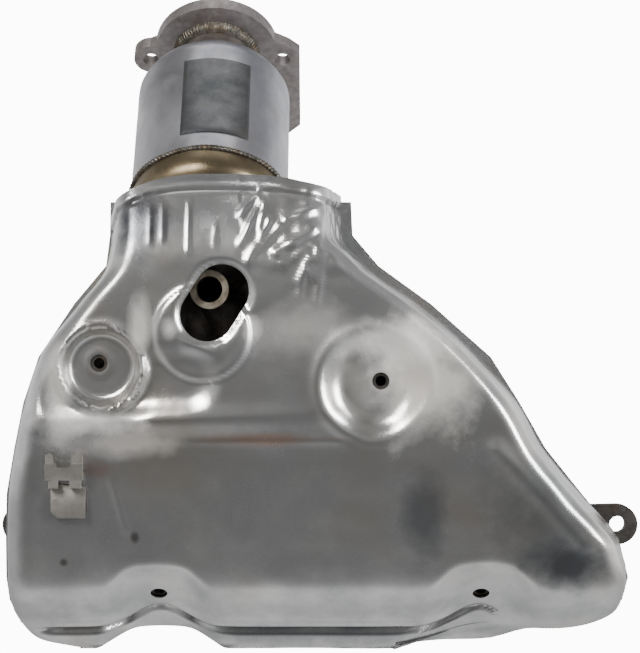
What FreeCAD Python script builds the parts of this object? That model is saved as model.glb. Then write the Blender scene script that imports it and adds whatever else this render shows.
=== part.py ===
import FreeCAD, Part
import math
import os
import Sketcher
from FreeCAD import Placement, Rotation, Vector

# Four-cylinder exhaust manifold with a close-coupled catalytic converter and its pressed heat shields.
# Origin: centre of the head flange's mating face. +X along the port row, +Y into the engine, +Z up.

doc = FreeCAD.newDocument("manifold_converter")
sheet = doc.addObject("Spreadsheet::Sheet", "sizes")

SIZES = [
    # head flange and its ports
    ("PortSpacing", 96.0), ("TubeOuter", 36.0), ("TubeWall", 2.0), ("FlangeThickness", 10.0),
    ("FlangeHeight", 58.0), ("SocketDepth", 5.0), ("EarReach", 200.0), ("EarRise", 17.0),
    ("EarDiameter", 27.0), ("HeadHole", 11.0), ("StudHole", 9.0), ("StudRise", 21.0),
    # runner tubes: their gap to the shields' rim, bend radius, and where each one joins
    ("RunnerGap", 2.0), ("RunnerBend", 41.0),
    ("JoinOneX", -108.4), ("JoinOneZ", 102.3), ("JoinTwoX", -70.0), ("JoinTwoZ", 100.0),
    ("JoinThreeX", -34.2), ("JoinThreeZ", 115.9), ("JoinFourX", -4.0), ("JoinFourZ", 141.8),
    # converter axis and can
    ("CanX", -73.0), ("CanY", -35.0), ("CanZ", 231.0), ("CanTilt", 40.0),
    ("CanOuter", 104.0), ("CanWall", 1.5), ("CanLength", 100.0), ("ConeLap", 8.0),
    ("CollectorOuter", 88.0), ("CollectorDrop", 30.0), ("InletConeLength", 22.0), ("WeldHeight", 2.2),
    # catalyst
    ("MatThickness", 4.0), ("SubstrateGap", 4.0), ("SealWidth", 6.0),
    # plate on the can
    ("PlateStart", 14.0), ("PlateEnd", 16.0), ("PlateAngle", 50.0), ("PlateTurn", 5.5),
    ("PlateThickness", 1.2),
    # outlet
    ("OutletOuter", 50.0), ("OutletWall", 2.0), ("OutletConeTop", 24.0), ("OutletNeck", 6.0),
    ("OutletPipeLength", 15.0), ("OutletFlangeThickness", 10.0), ("OutletBulge", 86.0),
    ("OutletHoleSpacing", 93.0), ("OutletHoleShift", 5.0), ("OutletHole", 11.0), ("OutletLobe", 24.0),
    ("OutletEdgeX", 58.6), ("OutletLugX", 40.0), ("OutletLugY", 66.0), ("OutletBeadLeg", 5.7),
    # oxygen sensor bung
    ("BungX", -69.5), ("BungZ", 173.3), ("BungOuter", 24.5), ("BungBore", 16.5),
    ("BungFront", 101.0), ("BungLength", 35.0),
    # heat shields
    ("SheetThickness", 1.0), ("ShieldRim", 37.0), ("ShieldFront", 115.0), ("ShieldShoulder", 70.0),
    ("ShieldCorner", 14.0), ("ShieldDraft", 0.13), ("MouthLeft", 19.0), ("MouthCrown", 5.5),
    ("MouthRight", 23.0), ("RearFlange", 6.5), ("CanClearance", 4.0), ("TubeClearance", 2.5),
    # pressed features of the front shield
    ("WindowRadius", 16.8), ("WindowHighX", -61.0), ("WindowHighZ", 172.0), ("WindowLowX", -70.0),
    ("WindowLowZ", 157.5), ("EmbossX", -73.0), ("EmbossZ", 146.0), ("EmbossDiameter", 62.0),
    ("EmbossHeight", 2.5), ("LeftDishX", -136.0), ("LeftDishZ", 124.5), ("LeftDishOuter", 54.0),
    ("LeftDishFloor", 37.0), ("RightDishX", 33.6), ("RightDishZ", 114.0), ("RightDishOuter", 68.0),
    ("RightDishFloor", 36.0), ("DishDepth", 9.0), ("ShieldHole", 10.8), ("LeftHoleX", -138.0),
    ("LeftHoleZ", 127.0), ("RightHoleX", 38.0), ("RightHoleZ", 116.0),
    # lower fixings
    ("ScallopX", 103.0), ("ScallopHoleY", 75.0), ("ScallopHoleZ", 20.0), ("ScallopAngle", 39.0),
    ("ScallopWidth", 46.0), ("ScallopSlope", 16.0), ("BracketWidth", 20.0), ("BracketThickness", 3.0),
    ("BracketArmZ", 27.5), ("BracketFootZ", 8.0), ("BracketSeat", 12.0),
    ("BossDiameter", 18.0), ("BossThread", 6.8), ("BossDepth", 16.0), ("LeftBracketWidth", 22.0),
    # clip
    ("ClipX", -158.0), ("ClipZ", 31.0), ("ClipWidth", 25.0), ("ClipBase", 22.0), ("ClipRise", 20.0),
    ("ClipStand", 6.0), ("ClipSheet", 1.2), ("ClipGap", 10.0), ("ClipProng", 7.0),
]

# Stations of the front shield, from the mouth down: step, left edge, right edge and how far the front lies
# behind the foremost plane. H lies at the shoulder; the step of one above it is its rise over the next one
# down, and the step of one below it is its drop from the next one up.
STATIONS = [
    ("A", 20.0, -137.0, 15.0, 20.5), ("B", 22.0, -138.0, 14.0, 11.5), ("C", 20.0, -138.4, 15.0, 4.0),
    ("D", 25.0, -141.0, 32.0, 0.5), ("E", 35.0, -162.0, 66.5, 0.0), ("F", 30.0, -185.5, 106.0, 0.0),
    ("G", 30.0, -195.5, 131.5, 0.0), ("H", 0.0, -201.5, 148.5, 1.0), ("I", 30.0, -206.5, 172.5, 5.0),
    ("J", 30.0, -207.0, 197.0, 9.5), ("K", 25.0, -206.7, 203.0, 15.5), ("L", 15.0, -204.5, 199.0, 29.0),
    ("M", 15.0, -197.0, 180.0, 51.0), ("N", 10.0, -186.0, 120.0, 65.0), ("O", 6.0, -165.0, 60.0, 74.0),
]
SHOULDER = 7
for mark, step, left, right, setback in STATIONS:
    if step:
        SIZES.append(("ShieldStep" + mark, step))
    SIZES.append(("ShieldLeft" + mark, left))
    SIZES.append(("ShieldRight" + mark, right))
    SIZES.append(("ShieldSetback" + mark, setback))

for row, (name, size) in enumerate(SIZES, 1):
    sheet.set("A%d" % row, name)
    sheet.set("B%d" % row, str(size))
    sheet.setAlias("B%d" % row, name)
doc.recompute()


def size(name):
    return float(sheet.get(name))


def plane(body, role):
    return next(item for item in body.Origin.OriginFeatures if item.Role == role)


def new_body(name):
    body = doc.addObject("PartDesign::Body", name)
    body.Label = name
    return body


def new_sketch(body, role, name, offset=None):
    sketch = body.newObject("Sketcher::SketchObject", name)
    sketch.AttachmentSupport = (plane(body, role), [""])
    sketch.MapMode = "FlatFace"
    if offset:
        sketch.setExpression("AttachmentOffset.Base.z", offset)
    doc.recompute()
    return sketch


def number(sketch, text):
    result = sketch.evalExpression(text)
    return float(getattr(result, "Value", result))


def bind(sketch, kind, geometry, point, text):
    """Hold one coordinate of a point at an expression of the sheet."""
    if number(sketch, text) == 0.0 and text == "0":
        axis = -2 if kind == "DistanceX" else -1
        sketch.addConstraint(Sketcher.Constraint("PointOnObject", geometry, point, axis))
        return
    index = sketch.addConstraint(Sketcher.Constraint(kind, -1, 1, geometry, point, number(sketch, text)))
    sketch.setExpression("Constraints[%d]" % index, text)


def draw_circle(sketch, diameter, x="0", y="0"):
    centre = Vector(number(sketch, x), number(sketch, y), 0)
    radius = number(sketch, "(%s) / 2" % diameter)
    circle = sketch.addGeometry(Part.Circle(centre, Vector(0, 0, 1), radius), False)
    bind(sketch, "DistanceX", circle, 3, x)
    bind(sketch, "DistanceY", circle, 3, y)
    index = sketch.addConstraint(Sketcher.Constraint("Radius", circle, radius))
    sketch.setExpression("Constraints[%d]" % index, "(%s) / 2" % diameter)


def draw_polygon(sketch, points):
    corners = [Vector(number(sketch, x), number(sketch, y), 0) for x, y in points]
    first = sketch.GeometryCount
    for index, corner in enumerate(corners):
        following = corners[(index + 1) % len(corners)]
        sketch.addGeometry(Part.LineSegment(corner, following), False)
    for index, (x, y) in enumerate(points):
        before = first + (index - 1) % len(points)
        sketch.addConstraint(Sketcher.Constraint("Coincident", before, 2, first + index, 1))
        bind(sketch, "DistanceX", first + index, 1, x)
        bind(sketch, "DistanceY", first + index, 1, y)


def add_pad(body, sketch, name, length, reverse=False):
    pad = body.newObject("PartDesign::Pad", name)
    pad.Profile = sketch
    pad.setExpression("Length", length)
    pad.Reversed = reverse
    doc.recompute()
    return pad


def add_pocket(body, sketch, name, length=None, reverse=False):
    before = body.Shape.Volume
    pocket = body.newObject("PartDesign::Pocket", name)
    pocket.Profile = sketch
    pocket.Reversed = reverse
    if length:
        pocket.setExpression("Length", length)
    else:
        pocket.Type = "ThroughAll"
        pocket.Midplane = True
    doc.recompute()
    if body.Shape.Volume > before - 1.0:
        raise RuntimeError("%s removed nothing" % name)
    return pocket


def add_revolution(body, sketch, name, angle="360"):
    turn = body.newObject("PartDesign::Revolution", name)
    turn.Profile = sketch
    turn.ReferenceAxis = (sketch, ["V_Axis"])
    turn.Midplane = True
    turn.setExpression("Angle", angle)
    doc.recompute()
    return turn


# ---------------------------------------------------------------- converter axis
tilt = size("CanTilt")
axis_turn = Rotation(Vector(1, 0, 0), -tilt)
axis_way = axis_turn.multVec(Vector(0, 0, 1))
axis_start = Vector(size("CanX"), size("CanY"), size("CanZ"))
on_axis = Placement(axis_start, axis_turn)


def turned_part(name, points, angle="360", turn=0.0):
    """A ring about the converter's axis, from its half section of radius and station."""
    body = new_body(name)
    section = new_sketch(body, "XZ_Plane", name + "_section")
    draw_polygon(section, points)
    add_revolution(body, section, name + "_turn", angle)
    body.Placement = on_axis.multiply(Placement(Vector(), Rotation(Vector(0, 0, 1), turn)))
    return body


CAN = "sizes.CanOuter / 2"
WALL = "sizes.CanWall"
INSIDE = "sizes.CanOuter / 2 - sizes.CanWall"

# ---------------------------------------------------------------- head flange
head_flange = new_body("head_flange")
bar = new_sketch(head_flange, "XZ_Plane", "flange_bar")
half_row = "sizes.PortSpacing * 1.5"
half_height = "sizes.FlangeHeight / 2"
draw_polygon(bar, [
    ("-(%s)" % half_row, "-(%s)" % half_height), (half_row, "-(%s)" % half_height),
    (half_row, half_height), ("-(%s)" % half_row, half_height),
])
add_pad(head_flange, bar, "flange_bar_pad", "sizes.FlangeThickness")
for side, sign in (("left", "-"), ("right", "")):
    port_end = new_sketch(head_flange, "XZ_Plane", side + "_flange_end")
    draw_circle(port_end, "sizes.FlangeHeight", sign + "(" + half_row + ")", "0")
    add_pad(head_flange, port_end, side + "_flange_end_pad", "sizes.FlangeThickness")
    arm = new_sketch(head_flange, "XZ_Plane", side + "_ear_arm")
    low = "sizes.EarRise - sizes.EarDiameter / 2"
    high = "sizes.EarRise + sizes.EarDiameter / 2"
    draw_polygon(arm, [
        (sign + "(%s)" % half_row, "-(%s) * 0.6" % half_height), (sign + "sizes.EarReach", low),
        (sign + "sizes.EarReach", high), (sign + "(%s)" % half_row, half_height),
    ])
    add_pad(head_flange, arm, side + "_ear_arm_pad", "sizes.FlangeThickness")
    ear = new_sketch(head_flange, "XZ_Plane", side + "_ear")
    draw_circle(ear, "sizes.EarDiameter", sign + "sizes.EarReach", "sizes.EarRise")
    add_pad(head_flange, ear, side + "_ear_pad", "sizes.FlangeThickness")
holes = new_sketch(head_flange, "XZ_Plane", "flange_holes")
for sign in ("-", ""):
    draw_circle(holes, "sizes.HeadHole", sign + "sizes.EarReach", "sizes.EarRise")
    for column in (sign + "sizes.PortSpacing",):
        draw_circle(holes, "sizes.StudHole", column, "sizes.StudRise")
        draw_circle(holes, "sizes.StudHole", column, "-sizes.StudRise")
    draw_circle(holes, "sizes.StudHole", "0", sign + "sizes.StudRise")
for half in ("-1.5", "-0.5", "0.5", "1.5"):
    draw_circle(holes, "sizes.TubeOuter - 2 * sizes.TubeWall", "sizes.PortSpacing * " + half, "0")
add_pocket(head_flange, holes, "flange_holes_pocket")
sockets = new_sketch(head_flange, "XZ_Plane", "tube_sockets", "sizes.FlangeThickness")
for half in ("-1.5", "-0.5", "0.5", "1.5"):
    draw_circle(sockets, "sizes.TubeOuter", "sizes.PortSpacing * " + half, "0")
add_pocket(head_flange, sockets, "tube_sockets_pocket", "sizes.SocketDepth")

# ---------------------------------------------------------------- runner tubes
NUMBERS = ("One", "Two", "Three", "Four")
RUNNER_PLANE = "(sizes.ShieldRim + sizes.RunnerGap + sizes.TubeOuter / 2)"
runner_plane = size("ShieldRim") + size("RunnerGap") + size("TubeOuter") / 2
PORTS = (-1.5, -0.5, 0.5, 1.5)
runner_way = {}
runner_run = {}
for index, word in enumerate(NUMBERS):
    port = Vector(PORTS[index] * size("PortSpacing"), 0, 0)
    join = Vector(size("Join%sX" % word), 0, size("Join%sZ" % word))
    runner_way[word] = (join - port).normalize()
    runner_run[word] = (join - port).Length
    tube = new_body("runner_%d" % (index + 1))
    path = new_sketch(tube, "XY_Plane", "runner_%d_path" % (index + 1))
    start = -(size("FlangeThickness") - size("SocketDepth"))
    bend = size("RunnerBend")
    depth = runner_plane
    path.addGeometry(Part.LineSegment(Vector(0, start, 0), Vector(0, bend - depth, 0)), False)
    centre = Part.Circle(Vector(bend, bend - depth, 0), Vector(0, 0, 1), bend)
    path.addGeometry(Part.ArcOfCircle(centre, math.pi, 1.5 * math.pi), False)
    path.addGeometry(Part.LineSegment(Vector(bend, -depth, 0), Vector(runner_run[word], -depth, 0)), False)
    path.addConstraint(Sketcher.Constraint("PointOnObject", 0, 1, -2))
    path.addConstraint(Sketcher.Constraint("Vertical", 0))
    path.addConstraint(Sketcher.Constraint("Tangent", 0, 2, 1, 1))
    path.addConstraint(Sketcher.Constraint("Tangent", 1, 2, 2, 1))
    path.addConstraint(Sketcher.Constraint("Horizontal", 2))
    bind(path, "DistanceY", 0, 1, "-(sizes.FlangeThickness - sizes.SocketDepth)")
    radius = path.addConstraint(Sketcher.Constraint("Radius", 1, bend))
    path.setExpression("Constraints[%d]" % radius, "sizes.RunnerBend")
    bind(path, "DistanceY", 2, 2, "-" + RUNNER_PLANE)
    port_x = "sizes.PortSpacing * %s" % PORTS[index]
    run = "sqrt((sizes.Join%sX - %s) ^ 2 + sizes.Join%sZ ^ 2)" % (word, port_x, word)
    bind(path, "DistanceX", 2, 2, run)
    ring = new_sketch(tube, "XZ_Plane", "runner_%d_ring" % (index + 1),
                      "sizes.FlangeThickness - sizes.SocketDepth")
    draw_circle(ring, "sizes.TubeOuter")
    draw_circle(ring, "sizes.TubeOuter - 2 * sizes.TubeWall")
    sweep = tube.newObject("PartDesign::AdditivePipe", "runner_%d_sweep" % (index + 1))
    sweep.Profile = ring
    sweep.Spine = (path, ["Edge1", "Edge2", "Edge3"])
    doc.recompute()
    heading = math.degrees(math.atan2(runner_way[word].z, runner_way[word].x))
    tube.Placement = Placement(port, Rotation(Vector(0, 1, 0), -heading))

# ---------------------------------------------------------------- collector
chamber = axis_start - axis_way * size("CollectorDrop")
shells = {}
for skin, cut in (("outer", "0"), ("inner", "1")):
    solids = []
    ball = doc.addObject("Part::Sphere", "collector_%s_ball" % skin)
    ball.setExpression("Radius", "sizes.CollectorOuter / 2 - %s * sizes.TubeWall" % cut)
    ball.Angle2 = 0.0
    ball.Placement = Placement(chamber, axis_turn)
    solids.append(ball)
    neck = doc.addObject("Part::Cylinder", "collector_%s_neck" % skin)
    neck.setExpression("Radius", "sizes.CollectorOuter / 2 - %s * sizes.TubeWall" % cut)
    neck.setExpression("Height", "sizes.CollectorDrop - sizes.InletConeLength + %s * 2" % cut)
    neck.Placement = Placement(chamber, axis_turn)
    solids.append(neck)
    for word in NUMBERS:
        way = runner_way[word]
        join = Vector(size("Join%sX" % word), -runner_plane, size("Join%sZ" % word))
        stub = doc.addObject("Part::Cylinder", "collector_%s_stub_%s" % (skin, word.lower()))
        stub.setExpression("Radius", "sizes.TubeOuter / 2 - %s * sizes.TubeWall" % cut)
        stub.Height = (chamber - join).dot(way) - size("TubeOuter") / 2 + 4.0 * float(cut)
        stub.Placement = Placement(join - way * 2.0 * float(cut), Rotation(Vector(0, 0, 1), way))
        solids.append(stub)
    shells[skin] = doc.addObject("Part::MultiFuse", "collector_%s" % skin)
    shells[skin].Shapes = solids
bung_hole = doc.addObject("Part::Cylinder", "collector_bung_hole")
bung_hole.setExpression("Radius", "sizes.BungOuter / 2")
bung_hole.setExpression("Height", "sizes.BungLength + 20")
bung_hole.Placement = Placement(
    Vector(size("BungX"), size("BungLength") - size("BungFront"), size("BungZ")),
    Rotation(Vector(0, 0, 1), Vector(0, -1, 0)))
hollow = doc.addObject("Part::MultiFuse", "collector_hollow")
hollow.Shapes = [shells["inner"], bung_hole]
collector = doc.addObject("Part::Cut", "collector")
collector.Base = shells["outer"]
collector.Tool = hollow
doc.recompute()

# ---------------------------------------------------------------- inlet cone, can and outlet cone
turned_part("inlet_cone", [
    (CAN, "0"), (CAN, "-sizes.InletConeLength * 0.36"),
    ("sizes.CanOuter / 2 - (sizes.CanOuter - sizes.CollectorOuter) * 0.17", "-sizes.InletConeLength * 0.72"),
    ("sizes.CollectorOuter / 2", "-sizes.InletConeLength"),
    ("sizes.CollectorOuter / 2 - sizes.CanWall", "-sizes.InletConeLength"),
    ("sizes.CanOuter / 2 - (sizes.CanOuter - sizes.CollectorOuter) * 0.17 - sizes.CanWall * 1.1",
     "-sizes.InletConeLength * 0.70"),
    (INSIDE, "-sizes.InletConeLength * 0.34"), (INSIDE, "0"),
])
turned_part("can_shell", [
    (CAN, "0"), (CAN, "sizes.CanLength"), (INSIDE, "sizes.CanLength"), (INSIDE, "0"),
])
turned_part("can_weld_bead", [
    (CAN, "-sizes.WeldHeight"), (CAN + " + sizes.WeldHeight * 0.7", "-sizes.WeldHeight * 0.7"),
    (CAN + " + sizes.WeldHeight", "0"), (CAN + " + sizes.WeldHeight * 0.7", "sizes.WeldHeight * 0.7"),
    (CAN, "sizes.WeldHeight"),
])
turned_part("can_plate", [
    (CAN, "sizes.PlateStart"), (CAN + " + sizes.PlateThickness", "sizes.PlateStart"),
    (CAN + " + sizes.PlateThickness", "sizes.CanLength - sizes.PlateEnd"),
    (CAN, "sizes.CanLength - sizes.PlateEnd"),
], "sizes.PlateAngle", 270.0 + size("PlateTurn"))

substrate_start = "sizes.ConeLap + sizes.SubstrateGap"
substrate_end = "sizes.CanLength - sizes.ConeLap - sizes.SubstrateGap"
seal_start = substrate_start + " + sizes.SealWidth"
seal_end = substrate_end + " - sizes.SealWidth"
brick = new_body("catalyst_substrate")
brick_face = new_sketch(brick, "XY_Plane", "substrate_face", substrate_start)
draw_circle(brick_face, "sizes.CanOuter - 2 * sizes.CanWall - 2 * sizes.MatThickness")
add_pad(brick, brick_face, "substrate_pad", substrate_end + " - sizes.ConeLap - sizes.SubstrateGap")
brick.Placement = on_axis
for name, low, high in (("lower_mat_seal", substrate_start, seal_start),
                        ("support_mat", seal_start, seal_end),
                        ("upper_mat_seal", seal_end, substrate_end)):
    turned_part(name, [
        (INSIDE + " - sizes.MatThickness", low), (INSIDE, low), (INSIDE, high),
        (INSIDE + " - sizes.MatThickness", high),
    ])

cone_base = "sizes.CanLength - sizes.ConeLap"
cone_top = "sizes.CanLength + sizes.OutletConeTop"
pipe = "sizes.OutletOuter / 2"
middle = "(sizes.CanOuter / 2 - sizes.CanWall) * 0.62 + sizes.OutletOuter / 2 * 0.38"
upper = "(sizes.CanOuter / 2 - sizes.CanWall) * 0.90 + sizes.OutletOuter / 2 * 0.10"
turned_part("outlet_cone", [
    (INSIDE, cone_base), (INSIDE, "sizes.CanLength"),
    (upper, "sizes.CanLength + sizes.OutletConeTop * 0.30"),
    (middle, "sizes.CanLength + sizes.OutletConeTop * 0.66"),
    (pipe + " + sizes.CanWall", cone_top), (pipe + " + sizes.CanWall", cone_top + " + sizes.OutletNeck"),
    (pipe, cone_top + " + sizes.OutletNeck"), (pipe, cone_top + " - sizes.CanWall * 0.7"),
    (middle + " - sizes.CanWall * 0.6", "sizes.CanLength + sizes.OutletConeTop * 0.66 - sizes.CanWall * 1.1"),
    (upper + " - sizes.CanWall", "sizes.CanLength + sizes.OutletConeTop * 0.30 - sizes.CanWall * 0.8"),
    (INSIDE + " - sizes.CanWall", "sizes.CanLength"), (INSIDE + " - sizes.CanWall", cone_base),
])
outlet = cone_top + " + sizes.OutletNeck + sizes.OutletPipeLength"
pipe_top = outlet + " + sizes.OutletFlangeThickness"
turned_part("outlet_pipe", [
    (pipe, cone_top), (pipe, pipe_top), (pipe + " - sizes.OutletWall", pipe_top),
    (pipe + " - sizes.OutletWall", cone_top),
])
turned_part("outlet_weld_bead", [
    (pipe, outlet), (pipe + " + sizes.OutletBeadLeg", outlet),
    (pipe + " + sizes.OutletBeadLeg * 0.75", outlet + " - sizes.OutletBeadLeg * 0.6"),
    (pipe, outlet + " - sizes.OutletBeadLeg"),
])

# ---------------------------------------------------------------- outlet flange
outlet_flange = new_body("outlet_flange")
thick = "sizes.OutletFlangeThickness"
bulge = new_sketch(outlet_flange, "XY_Plane", "outlet_bulge", outlet)
draw_circle(bulge, "sizes.OutletBulge")
add_pad(outlet_flange, bulge, "outlet_bulge_pad", thick)
lobe = new_sketch(outlet_flange, "XY_Plane", "outlet_lobe", outlet)
draw_circle(lobe, "sizes.OutletLobe", "-sizes.OutletHoleSpacing / 2", "sizes.OutletHoleShift")
add_pad(outlet_flange, lobe, "outlet_lobe_pad", thick)
web = new_sketch(outlet_flange, "XY_Plane", "outlet_web", outlet)
lobe_side = "sizes.OutletHoleShift - sizes.OutletLobe / 2"
lobe_far = "sizes.OutletHoleShift + sizes.OutletLobe / 2"
draw_polygon(web, [
    ("-sizes.OutletHoleSpacing / 2", lobe_side), ("0", "-sizes.OutletBulge * 0.35"),
    ("0", "sizes.OutletBulge * 0.45"), ("-sizes.OutletHoleSpacing / 2", lobe_far),
])
add_pad(outlet_flange, web, "outlet_web_pad", thick)
lug = new_sketch(outlet_flange, "XY_Plane", "outlet_lug", outlet)
lug_end = "sizes.OutletLugY + sizes.OutletLobe / 2"
draw_polygon(lug, [
    ("0", "-sizes.OutletBulge * 0.40"), ("sizes.OutletEdgeX - 8", lobe_side),
    ("sizes.OutletEdgeX", lobe_side + " + 7"), ("sizes.OutletEdgeX", lug_end + " - 9"),
    ("sizes.OutletEdgeX - 9", lug_end), ("sizes.OutletLugX - 6", lug_end),
    ("sizes.OutletLugX - sizes.OutletLobe / 2", lug_end + " - 8"), ("0", "sizes.OutletBulge * 0.45"),
])
add_pad(outlet_flange, lug, "outlet_lug_pad", thick)
outlet_holes = new_sketch(outlet_flange, "XY_Plane", "outlet_holes", outlet)
draw_circle(outlet_holes, "sizes.OutletOuter")
draw_circle(outlet_holes, "sizes.OutletHole", "-sizes.OutletHoleSpacing / 2", "sizes.OutletHoleShift")
draw_circle(outlet_holes, "sizes.OutletHole", "sizes.OutletHoleSpacing / 2", "sizes.OutletHoleShift")
draw_circle(outlet_holes, "sizes.OutletHole", "sizes.OutletLugX", "sizes.OutletLugY")
add_pocket(outlet_flange, outlet_holes, "outlet_holes_pocket")
outlet_flange.Placement = on_axis

# ---------------------------------------------------------------- oxygen sensor bung
bung = new_body("oxygen_sensor_bung")
bung_face = new_sketch(bung, "XZ_Plane", "bung_face", "sizes.BungFront - sizes.BungLength")
draw_circle(bung_face, "sizes.BungOuter", "sizes.BungX", "sizes.BungZ")
draw_circle(bung_face, "sizes.BungBore", "sizes.BungX", "sizes.BungZ")
add_pad(bung, bung_face, "bung_pad", "sizes.BungLength")

# ---------------------------------------------------------------- front heat shield
# One pressed sheet: a tall mouth around the converter that spreads into a wide, shallow tray over the
# runners. Its outer form is a ruled loft through thin arches; the same form set in by the sheet
# thickness is taken out of it. Every pressed feature is made in both, so the sheet keeps its thickness.
sheet_thickness = size("SheetThickness")
rim = -size("ShieldRim")
stations = []
for index, (mark, _, _, _, _) in enumerate(STATIONS):
    height = size("ShieldShoulder")
    height += sum(size("ShieldStep" + above[0]) for above in STATIONS[index:SHOULDER])
    height -= sum(size("ShieldStep" + below[0]) for below in STATIONS[SHOULDER + 1:index + 1])
    stations.append((height, size("ShieldLeft" + mark), size("ShieldRight" + mark),
                     -(size("ShieldFront") - size("ShieldSetback" + mark))))


def arch_side(edge, inward, front, inset, setback):
    """Rim end, wall tangent, middle and front tangent of one rounded side of an arch."""
    depth = rim - front
    wall = Vector(inward * size("ShieldDraft") * depth, -depth, 0).normalize()
    normal = Vector(inward * depth, size("ShieldDraft") * depth, 0).normalize()
    foot = Vector(edge, rim, 0) + normal * inset
    corner = foot + wall * ((front + setback - foot.y) / wall.y)
    along = Vector(inward, 0, 0)
    half = math.acos(-wall.dot(along)) / 2
    radius = max(0.35, min(size("ShieldCorner"), 0.42 * depth) - inset)
    reach = radius / math.tan(half)
    bisector = (along - wall).normalize()
    centre = corner + bisector * (radius / math.sin(half))
    start = foot - wall * (2.0 if inset else 0.0)
    return start, corner - wall * reach, centre - bisector * radius, corner + along * reach


def arch(index, inset):
    height, left, right, front = stations[index]
    above = stations[max(index - 1, 0)]
    below = stations[min(index + 1, len(stations) - 1)]
    slope = (below[3] - above[3]) / (above[0] - below[0])
    setback = inset * math.sqrt(1 + slope * slope)
    a = arch_side(left, 1, front, inset, setback)
    b = arch_side(right, -1, front, inset, setback)
    edges = [
        Part.makeLine(a[0], a[1]), Part.Arc(a[1], a[2], a[3]).toShape(), Part.makeLine(a[3], b[3]),
        Part.Arc(b[3], b[2], b[1]).toShape(), Part.makeLine(b[1], b[0]), Part.makeLine(b[0], a[0]),
    ]
    wire = Part.Wire(edges)
    wire.translate(Vector(0, 0, height))
    return wire


def dish(x, z, outer, floor, inset):
    """Cone that presses a round dish of flat floor into the front."""
    depth = size("DishDepth")
    grow = (outer - floor) / 2 / depth
    front = -size("ShieldFront")
    lead = 20.0
    cone = Part.makeCone(outer / 2 + grow * lead + inset, floor / 2 + inset, depth + lead + inset,
                         Vector(x, front - lead, z), Vector(0, 1, 0))
    return cone


scallop_turn = math.radians(size("ScallopAngle"))
scallop_out = Vector(0, -math.sin(scallop_turn), -math.cos(scallop_turn))
scallop_run = Vector(0, math.cos(scallop_turn), -math.sin(scallop_turn))


def scallop(x, inset):
    """Flat-floored channel that seats a lower fixing bolt."""
    seat = Vector(x, -size("ScallopHoleY"), -size("ScallopHoleZ")) - scallop_out * inset
    half = size("ScallopWidth") / 2 + inset
    spread = size("ScallopSlope")
    deep = 30.0
    start = seat - scallop_run * 80.0
    corners = [
        start + Vector(-half, 0, 0), start + Vector(half, 0, 0),
        start + Vector(half + spread, 0, 0) + scallop_out * deep,
        start + Vector(-half - spread, 0, 0) + scallop_out * deep,
    ]
    face = Part.Face(Part.makePolygon(corners + corners[:1]))
    return face.extrude(scallop_run * 160.0)


def shield_form(inset):
    form = Part.makeLoft([arch(index, inset) for index in range(len(stations))], True, True)
    high = size("EmbossHeight")
    boss = Part.makeCone(size("EmbossDiameter") / 2 + 2 - inset, size("EmbossDiameter") / 2 - inset - 2,
                         high + 4, Vector(size("EmbossX"), 4 + inset - size("ShieldFront"), size("EmbossZ")),
                         Vector(0, -1, 0))
    form = form.fuse(boss)
    tools = [
        dish(size("LeftDishX"), size("LeftDishZ"), size("LeftDishOuter"), size("LeftDishFloor"), inset),
        dish(size("RightDishX"), size("RightDishZ"), size("RightDishOuter"), size("RightDishFloor"), inset),
        scallop(-size("ScallopX"), inset), scallop(size("ScallopX"), inset),
    ]
    return form.cut(tools)


def drill(x, y, z, way, diameter, length=60.0):
    start = Vector(x, y, z) - way * (length / 2)
    return Part.makeCylinder(diameter / 2, length, start, way)


forward = Vector(0, -1, 0)
high_centre = Vector(size("WindowHighX"), 0, size("WindowHighZ"))
low_centre = Vector(size("WindowLowX"), 0, size("WindowLowZ"))
window_way = (high_centre - low_centre).normalize()
window_side = Vector(-window_way.z, 0, window_way.x) * size("WindowRadius")
window_far = Vector(0, 12 - size("ShieldFront"), 0)
corners = [high_centre + window_side, low_centre + window_side, low_centre - window_side,
           high_centre - window_side]
slot = Part.Face(Part.makePolygon([corner + window_far for corner in corners + corners[:1]]))
window = slot.extrude(forward * 30.0)
for centre in (high_centre, low_centre):
    window = window.fuse(Part.makeCylinder(size("WindowRadius"), 30.0, centre + window_far, forward))

# The mouth's lip is an arch, lower at both ends than at its crown.
top = stations[0][0]
lip_left = Vector(stations[0][1] - 30, 0, top - size("MouthLeft"))
lip_right = Vector(stations[0][2] + 30, 0, top - size("MouthRight"))
lip_crown = Vector((stations[0][1] + stations[0][2]) / 2, 0, top - size("MouthCrown"))
above = top + 60
lip_edges = [
    Part.Arc(lip_left, lip_crown, lip_right).toShape(),
    Part.makeLine(lip_right, Vector(lip_right.x, 0, above)),
    Part.makeLine(Vector(lip_right.x, 0, above), Vector(lip_left.x, 0, above)),
    Part.makeLine(Vector(lip_left.x, 0, above), lip_left),
]
lip_tool = Part.Face(Part.Wire(lip_edges)).extrude(forward * (size("ShieldFront") * 2))

hole_size = size("ShieldHole")
openings = [
    window, lip_tool,
    drill(size("LeftHoleX"), -size("ShieldFront"), size("LeftHoleZ"), forward, hole_size),
    drill(size("RightHoleX"), -size("ShieldFront"), size("RightHoleZ"), forward, hole_size),
]
for sign in (-1, 1):
    openings.append(drill(sign * size("ScallopX"), -size("ScallopHoleY"), -size("ScallopHoleZ"),
                          scallop_out, hole_size, 24.0))
front_shield = doc.addObject("Part::Feature", "front_heat_shield")
front_shape = shield_form(0.0).cut(shield_form(sheet_thickness)).cut(openings)
front_shield.Shape = max(front_shape.Solids, key=lambda solid: solid.Volume)
front_shield.Placement = Placement()

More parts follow.
